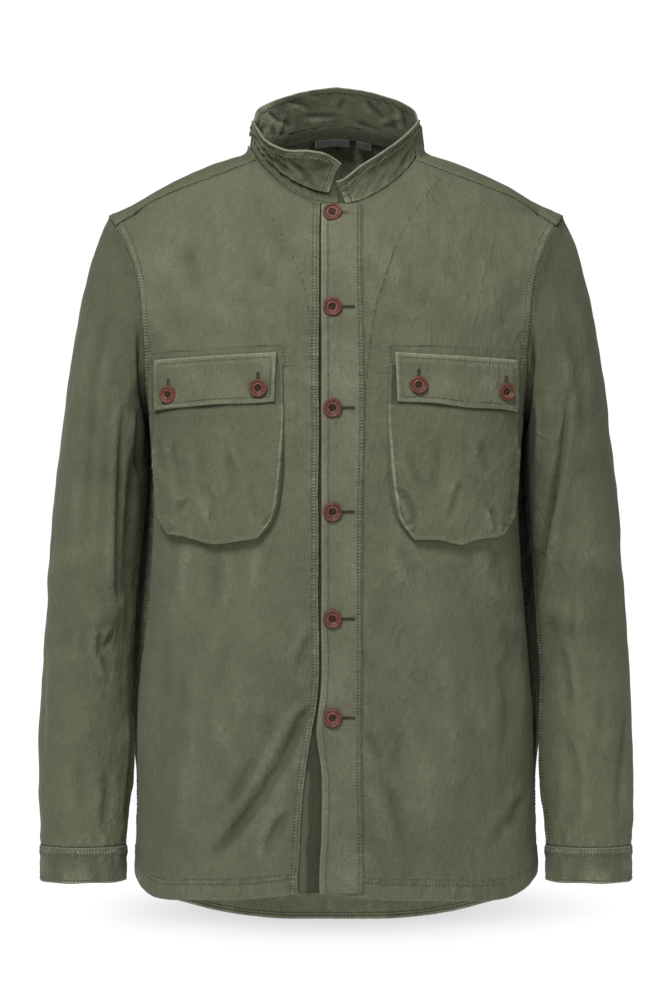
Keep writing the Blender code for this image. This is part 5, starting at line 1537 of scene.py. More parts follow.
def pocket(name, sign, finish, columns=108, rows=112):
    """Flat bellows pocket: its gusset shows as a sloping wall that widens downwards along the side next to
    the placket, the face's edge stands over it as a ridge, and its lower corners are pinched."""
    width, height = POCKET_OUTER - POCKET_INNER, POCKET_TOP - POCKET_BOTTOM
    spread, fall = turned_edge(columns, GUSSET_TOP / width), turned_edge(rows, GUSSET_BOTTOM / height)
    across, down = np.meshgrid(spread, fall)
    inner_x = POCKET_INNER + curve(POCKET_SHAPE, "inner_in", down)
    outer_x = POCKET_OUTER - curve(POCKET_SHAPE, "outer_in", down)
    x = (inner_x + (outer_x - inner_x) * across) * sign
    sag = POCKET_SAG * np.sin(np.pi * across) * down
    slope = POCKET_TILT * down - FLAP_SLOPE * (1 - down)
    z = POCKET_TOP + (POCKET_BOTTOM - POCKET_TOP) * down - sag + slope * across
    z = z + 0.0010 * ripple(x, 0 * x, 0.035, 91 + int(sign)) * down ** 4
    inner_side, outer_side = across * width, (1 - across) * width
    bottom = (1 - down) * height
    low = ease((down - MOUTH_REACH) / 0.20)
    x = x - sign * UNDERCUT * (1 - np.clip(outer_side / GUSSET_TOP, 0, 1))
    z = z + UNDERCUT * (1 - np.clip(bottom / GUSSET_BOTTOM, 0, 1))
    gusset = GUSSET_TOP + (GUSSET_SIDE - GUSSET_TOP) * ease((down - 0.25) / 0.45)
    from_gusset = np.minimum(np.minimum(inner_side / gusset, outer_side / GUSSET_TOP), bottom / GUSSET_BOTTOM)
    wall = np.clip(from_gusset, 0, 1)
    top = MOUTH_RELIEF + (POCKET_FULL - MOUTH_RELIEF) * low
    inner_ridge = GUSSET_TOP + (gusset - GUSSET_TOP) * ease((down - 0.10) / 0.2)
    inward = np.minimum(np.minimum(inner_side - inner_ridge, outer_side - GUSSET_TOP), bottom - GUSSET_BOTTOM)
    settle = (top - POCKET_MIDDLE) * ease(inward / 0.045)
    face = top - np.maximum(settle, 0) + EDGE_RIDGE * bell(inward - 0.0014, 0.0016) * (0.4 + 0.6 * low)
    lift = face * np.sin(np.pi / 2 * wall) ** 0.75
    creases = POCKET_GAIN * crease_height(x, z, CREASES_POCKET) * low
    swell = 1.3 * rumple(x, z, 90 + int(sign)) * low
    pinch = pucker(inner_side + z, bottom, 93) * bell(np.minimum(inward, 0.02), 0.008) * low
    lift = lift + (creases + swell) * ease(from_gusset) * ease(outer_side / 0.024) + pinch
    inner = front_points(x, z, POCKET_LAY)
    outer = front_points(x, z, POCKET_LAY + np.maximum(lift, POCKET_WALL))
    wear = edge_wear(np.abs(inward)) * (0.25 + 0.25 * low) + 0.10 * ripple(x, z / 2, 0.05, 95) + 0.08
    # painted shade in the pocket's creases with painted highlight on their ridges, and painted shade on the
    # gusset wall beyond the face's edge
    wear += 0.28 * ridge_fade_and_trough_shade(creases + swell) - 0.45 * ease((-0.0004 - inward) / 0.001) * low
    # painted shadow on the pocket in a band just under the flap's lower edge
    flap_bottom = FLAP_BOTTOM - (FLAP_SLOPE + FLAP_DROP) * across
    wear -= 0.55 * ease((z - flap_bottom + 0.0045) / 0.003)
    maps = {"seams": np.stack([inward, bottom, np.full(x.shape, FAR)], axis=-1), "wear": wear}
    if sign < 0:
        inner, outer, *turned = reverse(inner, outer, *maps.values())
        maps = dict(zip(maps, turned))
    return slab(name, inner, outer, maps, finish)


def flap(name, sign, finish, columns=100, rows=44):
    """Pocket flap: sewn to the front at its top, lying over the pocket's mouth below."""
    across, down = np.meshgrid(np.linspace(0, 1, columns), np.linspace(0, 1, rows))
    x = FLAP_INNER + FLAP_TAPER * down + (FLAP_OUTER - FLAP_INNER - FLAP_TAPER * down) * across
    x = x * sign
    z = FLAP_TOP + (FLAP_BOTTOM - FLAP_TOP) * down - (FLAP_SLOPE + FLAP_DROP * down) * across
    z = z + 0.0012 * down * ripple(x, x * 0, 0.075, 100 + int(sign))
    width = FLAP_OUTER - FLAP_INNER
    height = FLAP_TOP - FLAP_BOTTOM
    side = np.minimum(across, 1 - across) * width
    bottom = (1 - down) * height
    top = down * height
    rim = np.minimum(side, bottom)
    edge = np.minimum(rim, top)
    base = LAY + FLAP_CLEARANCE * ease(down / FLAP_SEWN)
    curl = ease((down - 0.75) / 0.25) * (0.5 + 0.5 * ripple(x, x * 0, 0.060, 106))
    wave = 0.0006 * down * ripple(x, z, 0.050, 103 + int(sign)) + 0.0009 * curl
    puff = 0.0005 * bell(rim - 0.0024, 0.0016) + 0.0003 * ripple(x, z, 0.014, 107) * bell(rim - 0.004, 0.004)
    for spot in POCKET_BUTTONS:
        wave = wave - button_dip(x, z, spot["x"], spot["z"])
    base = base + np.maximum(wave, -LAY)
    sewn_x = x
    for _ in range(3):
        x = sewn_x - slope_normals(x, z)[..., 0] * (base + DOUBLE_WALL)
    inner = front_points(x, z, base)
    outer, out = on_front(x, z, base + DOUBLE_WALL + puff - folded_edge(edge))
    wear = 1.1 * edge_wear(rim) + edge_wear(top) + 0.2 * bell(edge - 0.0035, 0.0018) + 0.2
    wear += 0.18 * ripple(x, z, 0.04, 108)
    maps = {"seams": np.stack([edge, top + FAR, rim + FAR], axis=-1), "wear": wear}
    if sign < 0:
        inner, outer, out, side, bottom, top, *turned = reverse(
            inner, outer, out, side, bottom, top, *maps.values())
        maps = dict(zip(maps, turned))
    made = slab(name, inner, outer, maps, finish)
    half, inset = columns // 2, slice(4, -4)
    for part in (slice(0, half), slice(half, None)):
        sew_level(name, (outer, out), side, FLAP_ROW, rows=inset, columns=part)
    for field in (bottom, top):
        sew_level(name, (outer, out), field, FLAP_ROW, 0, columns=inset)
    return made


# ---------------------------------------------------------------- buttons

BUTTON_SHAPE = table("radius height", [
    (0.00, 0.40), (0.30, 0.40), (0.38, 0.46), (0.44, 0.62), (0.50, 0.66), (0.57, 0.60), (0.65, 0.66),
    (0.74, 0.90), (0.82, 1.00), (0.89, 0.97), (0.95, 0.82), (0.99, 0.58), (1.00, 0.42),
])
"""Half section of a button's face from its middle to its widest, in parts of its radius and thickness."""
HOLE_AT = 0.20
HOLE_SIZE = 0.105
HOLE_DEPTH = 0.42
BUTTON_BACK = np.array([(0.97, 0.16), (0.88, 0.0), (0.50, 0.0), (0.0, 0.0)])[:, :, None]
"""Radius and height of the rings behind a button's widest, in the same parts."""


def button(number, node, size, x, z, lift, tilt, turn_by, finish):
    """Turned button with a dished face, a raised rim and four holes."""
    sides, rings = 48, 32
    place = np.linspace(0, 1, rings)
    radius = np.sin(place * np.pi / 2) * 0.35 + place * 0.65
    radius, turn = np.meshgrid(radius, circle(sides), indexing="ij")
    height = curve(BUTTON_SHAPE, "height", radius)
    hole = np.zeros(radius.shape)
    for k in range(4):
        spot = turn_by + k * np.pi / 2
        away = np.hypot(radius * np.cos(turn) - HOLE_AT * np.cos(spot),
                        radius * np.sin(turn) - HOLE_AT * np.sin(spot))
        hole = np.maximum(hole, 1 - ease((away / HOLE_SIZE - 0.72) / 0.4))
    height = height - HOLE_DEPTH * hole
    behind = np.zeros((len(BUTTON_BACK), sides))
    radius = np.concatenate([radius, BUTTON_BACK[:, 0] + behind])
    height = np.concatenate([height, BUTTON_BACK[:, 1] + behind])
    turn = np.concatenate([turn, turn[:len(behind)]])
    hole = np.concatenate([hole, behind])
    across, up, out, spot = button_frame(x, z, lift, tilt)
    points = (spot + (radius * np.cos(turn) * size / 2)[..., None] * across
              + (radius * np.sin(turn) * size / 2)[..., None] * up + (height * BUTTON_THICK)[..., None] * out)
    faces, uv_corners = quads(len(points), sides, True, False)
    made = new_object(f"{node}_turned", points, faces, finish)
    rim = (bell(radius - 0.49, 0.06) + 0.55 * bell(radius - 0.84, 0.07)) * (height > 0.3)
    # painted shade: the dished middle of the face is darkened like the holes
    hole = np.maximum(hole, 0.75 * (1 - ease((radius - 0.30) / 0.12)) * (height > 0.3))
    add_maps(made, np.stack([np.concatenate([radius, radius[:, :1]], axis=1)] * 2, axis=-1), uv_corners,
             {"wear": rim, "hole": hole, "seams": np.stack([radius, turn, hole + number], axis=-1)})
    weld = made.modifiers.new("close the middle", "WELD")
    weld.merge_threshold = 0.00002
    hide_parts(node)
    return made, (across, up, out, spot)


def button_frame(x, z, lift, tilt):
    """Axes and middle of a button that lies on the front, turned a little about its two level axes."""
    place, out = (values[0] for values in on_front(np.array([x]), np.array([z]), lift))
    across = np.cross([0.0, 0.0, 1.0], out)
    across /= np.linalg.norm(across)
    up = np.cross(out, across)
    out = out * BUTTON_FACING[0] + np.array([0.0, -BUTTON_FACING[1], 0.0]) + across * tilt[0] + up * tilt[1]
    out /= np.linalg.norm(out)
    across = np.cross(up, out)
    across /= np.linalg.norm(across)
    return across, np.cross(out, across), out, place


def thread_loops(node, axes, size, turn_by, finish):
    """Thread through a button's holes: two bowed strands side by side and one across."""
    across, up, out, spot = axes
    t = np.linspace(0, 1, 9)
    around = circle(8)
    parts = []
    for holes, raise_by in (((0, 1), 0.0), ((3, 2), 0.0), ((0, 2), 0.0004)):
        corners = [turn_by + hole * np.pi / 2 for hole in holes]
        ends = [HOLE_AT * size / 2 * np.array([np.cos(c), np.sin(c)]) for c in corners]
        line = ends[0] + (ends[1] - ends[0]) * t[:, None]
        rise = BUTTON_THICK * 0.30 + (BUTTON_THICK * 0.34 + raise_by) * np.sin(np.pi * t) ** 0.5
        way = (ends[1] - ends[0]) / np.linalg.norm(ends[1] - ends[0])
        beside = np.array([-way[1], way[0]])
        flat = line[:, None] + THREAD_RADIUS * np.cos(around)[None, :, None] * beside
        high = rise[:, None] + THREAD_RADIUS * np.sin(around)[None, :]
        parts.append(spot + flat[..., :1] * across + flat[..., 1:] * up + high[..., None] * out)
    tube, _ = quads(len(t), len(around), True, True)
    faces = np.concatenate([tube + k * len(t) * len(around) for k in range(len(parts))])
    made = new_object(f"{node}_thread", np.concatenate(parts), faces, finish)
    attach(made, "root")


def buttonhole(name, x, z, lift, length, upright):
    """Worked buttonhole: a row of close stitches on each side of its slit, and a bar at its far end."""
    t = np.linspace(0, 1, 24)
    rows = [(off + 0 * t, length * t, 0.00060, 0.00150) for off in (-0.00085, 0.00085)]
    rows.append(((t - 0.5) * 0.0030, length + 0 * t, 0.00050, 0.0012))
    for across, along, pitch, stitch in rows:
        if not upright:
            across, along = along, across
        sew(name, *on_front(x + across, z + along, lift), pitch, stitch, np.pi / 2)


# ---------------------------------------------------------------- materials

def feed(tree, node, sockets):
    """Give a node's inputs, by name or number, a socket to read from or a plain value."""
    for key, value in sockets.items():
        if isinstance(value, bpy.types.NodeSocket):
            tree.links.new(value, node.inputs[key])
        else:
            node.inputs[key].default_value = value


def add(tree, kind, sockets=None, **settings):
    """New node; settings are its properties, sockets its inputs."""
    made = tree.nodes.new(kind)
    for key, value in settings.items():
        setattr(made, key, value)
    feed(tree, made, sockets or {})
    return made


def calc(tree, operation, *values):
    """Result of a Math node."""
    return add(tree, "ShaderNodeMath", dict(enumerate(values)), operation=operation).outputs[0]


def times(tree, first, second):
    """Product of two values."""
    return calc(tree, "MULTIPLY", first, second)


def plus(tree, total, *values):
    """Sum of values."""
    for value in values:
        total = calc(tree, "ADD", total, value)
    return total


def minus(tree, first, second):
    """Difference of two values."""
    return calc(tree, "SUBTRACT", first, second)


def mix(tree, factor, first, second):
    """Result of mixing two colours."""
    return add(tree, "ShaderNodeMix", {0: factor, 6: first, 7: second}, data_type="RGBA").outputs[2]


def scaled(tree, vector, by):
    """A colour or vector times a value."""
    return add(tree, "ShaderNodeVectorMath", {0: vector, "Scale": by}, operation="SCALE").outputs[0]


def noise(tree, vector, scale, detail=2.0, roughness=0.5):
    """Value of a noise texture."""
    made = add(tree, "ShaderNodeTexNoise",
               {"Vector": vector, "Scale": scale, "Detail": detail, "Roughness": roughness})
    return made.outputs["Fac"]


def ramp(tree, value, low, high, low_to=0.0, high_to=1.0):
    """Value carried from one range to another with a smooth step."""
    made = add(tree, "ShaderNodeMapRange", {0: value, 1: low, 2: high, 3: low_to, 4: high_to},
               interpolation_type="SMOOTHSTEP")
    return made.outputs[0]


def parts_of(tree, vector):
    """The three parts of a vector."""
    return add(tree, "ShaderNodeSeparateXYZ", {0: vector}).outputs


def vector_xy(tree, x, y):
    """Vector with two given parts."""
    return add(tree, "ShaderNodeCombineXYZ", {0: x, 1: y}).outputs[0]


def object_place(tree):
    """Place in the frame, in metres."""
    return add(tree, "ShaderNodeTexCoord").outputs["Object"]


def cloth_place(tree):
    """Place in the cloth, in metres across and down."""
    return parts_of(tree, add(tree, "ShaderNodeUVMap", uv_map="cloth").outputs[0])


def attribute(tree, name):
    """Value of a point attribute."""
    return add(tree, "ShaderNodeAttribute", attribute_name=name).outputs["Fac"]


def attribute_parts(tree, name):
    """The three parts of a vector attribute."""
    return parts_of(tree, add(tree, "ShaderNodeAttribute", attribute_name=name).outputs["Vector"])


def new_group(name, inputs, outputs):
    """Shader group with its sockets; inputs and outputs are (name, kind, value) and (name, kind)."""
    tree = bpy.data.node_groups.new(name, "ShaderNodeTree")
    for socket_name, kind, value in inputs:
        socket = tree.interface.new_socket(socket_name, in_out="INPUT", socket_type="NodeSocket" + kind)
        socket.default_value = value
    for socket_name, kind in outputs:
        tree.interface.new_socket(socket_name, in_out="OUTPUT", socket_type="NodeSocket" + kind)
    return tree, tree.nodes.new("NodeGroupInput").outputs, tree.nodes.new("NodeGroupOutput")


def seam_group():
    """Felled seam by the distance from it: a pale worn edge, a raised band, two rows of stitches that sink in
    with painted shade in their grooves, and puckers across them at the pitch of the stitches."""
    tree, given, made = new_group(
        "stitched seam",
        [("Distance", "Float", 0.05), ("Along", "Float", 0.0), ("First row", "Float", 0.002),
         ("Second row", "Float", 0.008), ("Pucker", "Float", 0.0004), ("Edge", "Float", 0.0),
         ("Band", "Float", 0.0)],
        [("Groove", "Float"), ("Worn", "Float"), ("Height", "Float")])
    distance = calc(tree, "ABSOLUTE", given["Distance"])
    along, pucker_height, edge = given["Along"], given["Pucker"], given["Edge"]
    uneven = noise(tree, vector_xy(tree, along, times(tree, distance, 0.4)), 90.0)
    tick = calc(tree, "SINE", plus(tree, times(tree, along, LADDER), times(tree, uneven, 9.0)))
    from_rows = [minus(tree, distance, given[row]) for row in ("First row", "Second row")]
    from_first, from_last = from_rows
    off = calc(tree, "MINIMUM", *[calc(tree, "ABSOLUTE", from_row) for from_row in from_rows])
    groove = ramp(tree, off, 0.0003, 0.0010, 1.0, 0.0)
    # painted shade in the stitch grooves, darkest at the stitch holes
    holes = times(tree, groove, ramp(tree, tick, -0.9, 0.9, 1.0, 0.55))
    beside = times(tree, ramp(tree, from_last, 0.0006, 0.0024, 1.0, 0.0),
                   ramp(tree, from_first, -0.0016, -0.0004))
    near = ramp(tree, from_last, -0.0010, 0.0160, 1.0, 0.0)
    crumpled = times(tree, times(tree, uneven, near), times(tree, pucker_height, 4.5))
    strength = times(tree, pucker_height, ramp(tree, uneven, 0.35, 0.65, 0.25, 0.80))
    ladder = times(tree, times(tree, tick, beside), strength)
    raised = times(tree, ramp(tree, from_last, 0.0006, 0.0018, 1.0, 0.0), given["Band"])
    turned = times(tree, ramp(tree, distance, 0.0, 0.0010, -0.0002, 0.0), edge)
    rim = times(tree, ramp(tree, distance, 0.0006, 0.0018, 1.4, 0.0), ramp(tree, uneven, 0.30, 0.60, 0.45, 1.0))
    rubbed = times(tree, times(tree, ramp(tree, tick, -0.2, 1.0), beside), 0.32)
    feed(tree, made, {
        "Groove": holes, "Worn": calc(tree, "MAXIMUM", times(tree, rim, edge), rubbed),
        "Height": plus(tree, times(tree, groove, -0.00060), crumpled, ladder, raised, turned)})
    return tree


def drill_group():
    """Washed cotton drill: diagonal weave with uneven yarns, blotches of paler dye, paler worn edges, painted
    shade in the stitch grooves and wherever the wear input is below zero, and painted shade and light that
    change with height.
    """
    tree, given, made = new_group(
        "washed drill",
        [("Ground", "Color", (0.14, 0.14, 0.09, 1)), ("Worn", "Color", (0.2, 0.2, 0.14, 1)),
         ("Wear and shading", "Float", 0.0), ("Groove", "Float", 0.0), ("Relief", "Float", 0.0), ("Height shade", "Float", 1.0)],
        [("Color", "Color"), ("Roughness", "Float"), ("Height", "Float")])
    u, v, _ = cloth_place(tree)
    place = object_place(tree)
    diagonal = calc(tree, "SINE", times(tree, plus(tree, u, times(tree, v, 0.6)), 7000.0))
    warp, weft = (noise(tree, vector_xy(tree, times(tree, u, fine_u), times(tree, v, fine_v)), 1.0, 2.0, 0.6)
                  for fine_u, fine_v in ((1300.0, 90.0), (90.0, 1200.0)))
    yarn = plus(tree, times(tree, warp, 0.6), times(tree, weft, 0.4))
    blotch = noise(tree, place, 14.0, 4.0, 0.55)
    speck = noise(tree, place, 420.0, 2.0, 0.6)
    tone = plus(tree, times(tree, blotch, 0.26), times(tree, speck, 0.12), times(tree, yarn, 0.62))
    # painted shade and light by height: the colour is scaled by the strength given for the height in the frame
    tone = times(tree, ramp(tree, tone, 0.28, 0.72, 0.69, 1.31), given["Height shade"])
    # painted shade: a wear input below zero darkens the colour, for shade in troughs, under the flaps and
    # collar, on the gussets and beside the placket
    tone = times(tree, tone, ramp(tree, given["Wear and shading"], -0.8, 0.05, 0.50, 1.0))
    worn = times(tree, given["Wear and shading"], ramp(tree, speck, 0.25, 0.75, 0.55, 1.15))
    worn = ramp(tree, worn, 0.0, 1.2)
    colour = scaled(tree, mix(tree, worn, given["Ground"], given["Worn"]), tone)
    # painted shade: the stitch grooves darken the colour
    colour = scaled(tree, colour, minus(tree, 1.0, times(tree, given["Groove"], 0.45)))
    weave = plus(tree, times(tree, diagonal, 0.000016), times(tree, yarn, 0.00016))
    leaning = add(tree, "ShaderNodeMapping",
                  {"Vector": place, "Rotation": (0.0, 0.35, 0.0), "Scale": (1.0, 1.0, 0.55)}).outputs[0]
    crumple = plus(tree, times(tree, noise(tree, leaning, 60.0, 3.0), 0.0030),
                   times(tree, noise(tree, leaning, 21.0), 0.0034))
    for scale, width, rise in ((24.0, 0.040, 0.00045), (58.0, 0.060, 0.00022)):
        line = calc(tree, "ABSOLUTE", minus(tree, noise(tree, leaning, scale, 2.5), 0.5))
        crumple = plus(tree, crumple, ramp(tree, line, 0.0, width, rise, 0.0))
    feed(tree, made, {"Color": colour, "Roughness": ramp(tree, worn, 0.0, 1.0, 0.90, 0.80),
                      "Height": plus(tree, weave, crumple, given["Relief"])})
    return tree


def new_material(name):
    """Node material, its tree and its shader."""
    made = bpy.data.materials.new(name)
    made.use_nodes = True
    tree = made.node_tree
    return made, tree, tree.nodes["Principled BSDF"]


def dress(tree, shader, height, sockets):
    """Feed a shader, its normal bumped by a height in metres."""
    bump = add(tree, "ShaderNodeBump", {"Height": height, "Strength": 1.0, "Distance": 1.0})
    feed(tree, shader, {**sockets, "Normal": bump.outputs[0]})


def drill(name, ground, worn, seams, groups, wear_name="wear", faded=()):
    """Cloth material.

    seams lists for each: part 0 to 2 of the seams attribute or 3 to 5 of the lines attribute, UV direction
    along it, first row, second row, pucker, worn edge, height of the band.  The last argument gives a lower and
    an upper height in the frame and the colour's strength at each: painted shade and light that change with
    height.
    """
    made, tree, shader = new_material(name)
    distances = list(attribute_parts(tree, "seams"))
    if max([row[0] for row in seams], default=0) > 2:
        distances += list(attribute_parts(tree, "lines"))
    uv = cloth_place(tree)
    groove, relief, wear = 0.0, 0.0, attribute(tree, wear_name)
    for which, along, *values in seams:
        settings = dict(zip(("First row", "Second row", "Pucker", "Edge", "Band"), values))
        seam = add(tree, "ShaderNodeGroup", node_tree=groups["seam"])
        feed(tree, seam, {"Distance": distances[which], "Along": uv[along], **settings})
        groove = calc(tree, "MAXIMUM", seam.outputs["Groove"], groove)
        relief = plus(tree, seam.outputs["Height"], relief)
        wear = plus(tree, seam.outputs["Worn"], wear)
    weave = add(tree, "ShaderNodeGroup", node_tree=groups["drill"])
    feed(tree, weave, {"Ground": (*ground, 1.0), "Worn": (*worn, 1.0), "Wear and shading": wear, "Groove": groove,
                       "Relief": relief})
    if faded:
        feed(tree, weave, {"Height shade": ramp(tree, parts_of(tree, object_place(tree))[2], *faded)})
    dress(tree, shader, weave.outputs["Height"], {
        "Base Color": weave.outputs["Color"], "Roughness": weave.outputs["Roughness"],
        "Specular IOR Level": 0.18, "Sheen Weight": 0.12, "Sheen Roughness": 0.55,
        "Sheen Tint": (0.62, 0.64, 0.48, 1.0)})
    return made


def corozo():
    """Nut buttons: red-brown with cloudy grain, paler worn rim, painted shade in the holes and the dished
    middle, satin polish.
    """
    made, tree, shader = new_material("corozo")
    cloud = noise(tree, object_place(tree), 260.0, 4.0, 0.6)
    grain = noise(tree, object_place(tree), 1400.0, 2.0, 0.6)
    base = mix(tree, ramp(tree, cloud, 0.3, 0.7), (0.062, 0.018, 0.010, 1), (0.120, 0.038, 0.022, 1))
    worn = times(tree, attribute(tree, "wear"), ramp(tree, cloud, 0.25, 0.65))
    base = mix(tree, times(tree, worn, 0.60), base, (0.240, 0.110, 0.070, 1))
    # painted shade: the holes and the dished middle are near black
    base = mix(tree, attribute(tree, "hole"), base, (0.006, 0.003, 0.002, 1))
    dress(tree, shader, times(tree, grain, 0.00003), {
        "Base Color": base, "Roughness": ramp(tree, grain, 0.3, 0.7, 0.46, 0.60), "Specular IOR Level": 0.35})
    return made


def plain_thread(name, colour):
    """Twisted cotton thread."""
    made, tree, shader = new_material(name)
    twist = noise(tree, object_place(tree), 900.0, 1.0)
    dress(tree, shader, times(tree, twist, 0.0001), {
        "Base Color": scaled(tree, colour, ramp(tree, twist, 0.3, 0.7, 0.75, 1.2)),
        "Roughness": 0.8, "Specular IOR Level": 0.2})
    return made


def label_tape():
    """Dark woven tape with fine cross ribs and a slightly paler woven border, otherwise bare."""
    made, tree, shader = new_material("label_tape")
    rib = calc(tree, "SINE", times(tree, cloth_place(tree)[1], 9000.0))
    cloud = noise(tree, object_place(tree), 220.0, 3.0, 0.6)
    base = mix(tree, ramp(tree, cloud, 0.3, 0.7), (0.008, 0.008, 0.007, 1), (0.018, 0.017, 0.015, 1))
    end, free, _ = attribute_parts(tree, "seams")
    border = ramp(tree, calc(tree, "MINIMUM", end, free), 0.0006, 0.0012, 0.6, 0.0)
    dress(tree, shader, times(tree, rib, 0.00003), {
        "Base Color": mix(tree, border, base, (0.050, 0.049, 0.042, 1)), "Roughness": 0.7})
    return made


# ---------------------------------------------------------------- stage

FLOOR = -0.790
SHADOW_MIDDLE = 0.36
SHADOW_HALF = (0.275, 0.34)
# Depth of the middle and half axes of the painted soft shadow on the floor.
"""Depth of the middle and half axes of the soft shade on the floor."""
LIGHTS = (
    ("key", (-0.95, -2.8, 2.5), (0, 0, -0.30), 1.3, 166),
    ("fill", (2.1, -3.2, 0.5), (0, 0, -0.45), 1.8, 30),
    ("left", (-2.6, -2.2, 0.2), (0, 0, -0.45), 1.6, 8),
    ("low", (-0.4, -3.2, -0.60), (0, 0, -0.66), 0.7, 5),
)
"""Name, place, aim, size and power of each area light."""
WORLD_STRENGTH = 0.11
LENS = 150.0
CAMERA_AT = (0.0, -4.2, -0.354)
SHEET_FRONT = -0.66
SHEET_BACK = 8.0
SHEET_BEND = 1.5
SHEET_HALF = 7.0


def backdrop(columns=12):
    """Floor that runs back and turns up into a wall, in one glowing white sheet with a painted soft shadow
    behind the jacket.
    """
    bend = np.linspace(0, np.pi / 2, 16)[1:]
    floor_y = np.linspace(SHEET_FRONT, SHEET_BACK, 20)
    wall_z = np.linspace(0.3, 4.0, 8)
    y = np.concatenate([floor_y, SHEET_BACK + SHEET_BEND * np.sin(bend), SHEET_BACK + SHEET_BEND + 0 * wall_z])
    z = np.concatenate([0 * floor_y, SHEET_BEND * (1 - np.cos(bend)), SHEET_BEND + wall_z]) + FLOOR
    x = np.linspace(-SHEET_HALF, SHEET_HALF, columns)
    points = np.stack(np.broadcast_arrays(x[None, :], y[:, None], z[:, None]), axis=-1)
    made, tree, shader = new_material("white_sheet")
    across, depth, _ = parts_of(tree, object_place(tree))
    depth = calc(tree, "DIVIDE", minus(tree, depth, SHADOW_MIDDLE), SHADOW_HALF[1])
    away = vector_xy(tree, calc(tree, "DIVIDE", across, SHADOW_HALF[0]), depth)
    away = add(tree, "ShaderNodeVectorMath", {0: away}, operation="LENGTH").outputs["Value"]
    # painted shadow: the sheet's glow dims in an ellipse behind the jacket's hem
    feed(tree, shader, {
        "Emission Color": mix(tree, ramp(tree, away, 0.30, 1.25), (0.62, 0.62, 0.62, 1), (0.97, 0.97, 0.97, 1)),
        "Emission Strength": 1.0, "Base Color": (0.10, 0.10, 0.10, 1), "Roughness": 0.9})
    faces, _ = quads(len(y), columns, False, False)
    new_object("backdrop", points, faces, made)


def softbox(name, location, target, size, energy):
    """Square area light aimed at a point."""
    data = bpy.data.lights.new(name, "AREA")
    data.shape = "SQUARE"
    data.size = size
    data.energy = energy
    made = place_object(name, data)
    made.location = location
    x, y, z = np.array(target) - np.array(location)
    made.rotation_euler = (np.arctan2(np.hypot(x, y), -z), 0.0, np.arctan2(x, -y) + np.pi)


def light_and_camera():
    """Soft studio light from the front and above, and a level camera in front of the jacket."""
    for light in LIGHTS:
        softbox(*light)
    world = bpy.data.worlds.new("studio")
    bpy.context.scene.world = world
    world.use_nodes = True
    feed(world.node_tree, world.node_tree.nodes["Background"], {0: (1.0, 1.0, 1.0, 1.0), 1: WORLD_STRENGTH})
    bpy.context.scene.view_settings.view_transform = "Standard"
    data = bpy.data.cameras.new("camera")
    data.lens = LENS
    data.sensor_width = 36.0
    camera = place_object("camera", data)
    camera.location = CAMERA_AT
    camera.rotation_euler = (np.pi / 2, 0.0, 0.0)
    bpy.context.scene.camera = camera


# ---------------------------------------------------------------- putting it together

OLIVE = (0.112, 0.117, 0.073)
OLIVE_DEEP = (0.100, 0.105, 0.064)
OLIVE_LIGHT = (0.124, 0.129, 0.082)
OLIVE_WORN = (0.205, 0.210, 0.145)
OLIVE_CUFF = (0.078, 0.082, 0.050)
# painted shade: darker copies of the olive for the cloth's insides and the collar's inside, which lie in shade
OLIVE_INSIDE_SHADED = (0.070, 0.073, 0.045)
OLIVE_COLLAR_INSIDE_SHADED = (0.052, 0.054, 0.033)
BODY_HEIGHT_SHADE = (-0.72, -0.22, 0.74, 1.0)
# Heights between which the painted shade changes, and the colour's strength at each: the body is painted darker
# towards its hem.
"""Heights between which the dye's strength changes, and the strength at each."""


def declare(made, slot_name, *nodes):
    """A cloth piece: it rides on the body and stands for its solid, which is hidden."""
    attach(made, "root")
    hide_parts(*nodes)


def olive(name, ground, seams, groups, **more):
    """A drill in a shade of olive, worn to the one paler shade."""
    return drill("drill_" + name, ground, OLIVE_WORN, seams, groups, **more)


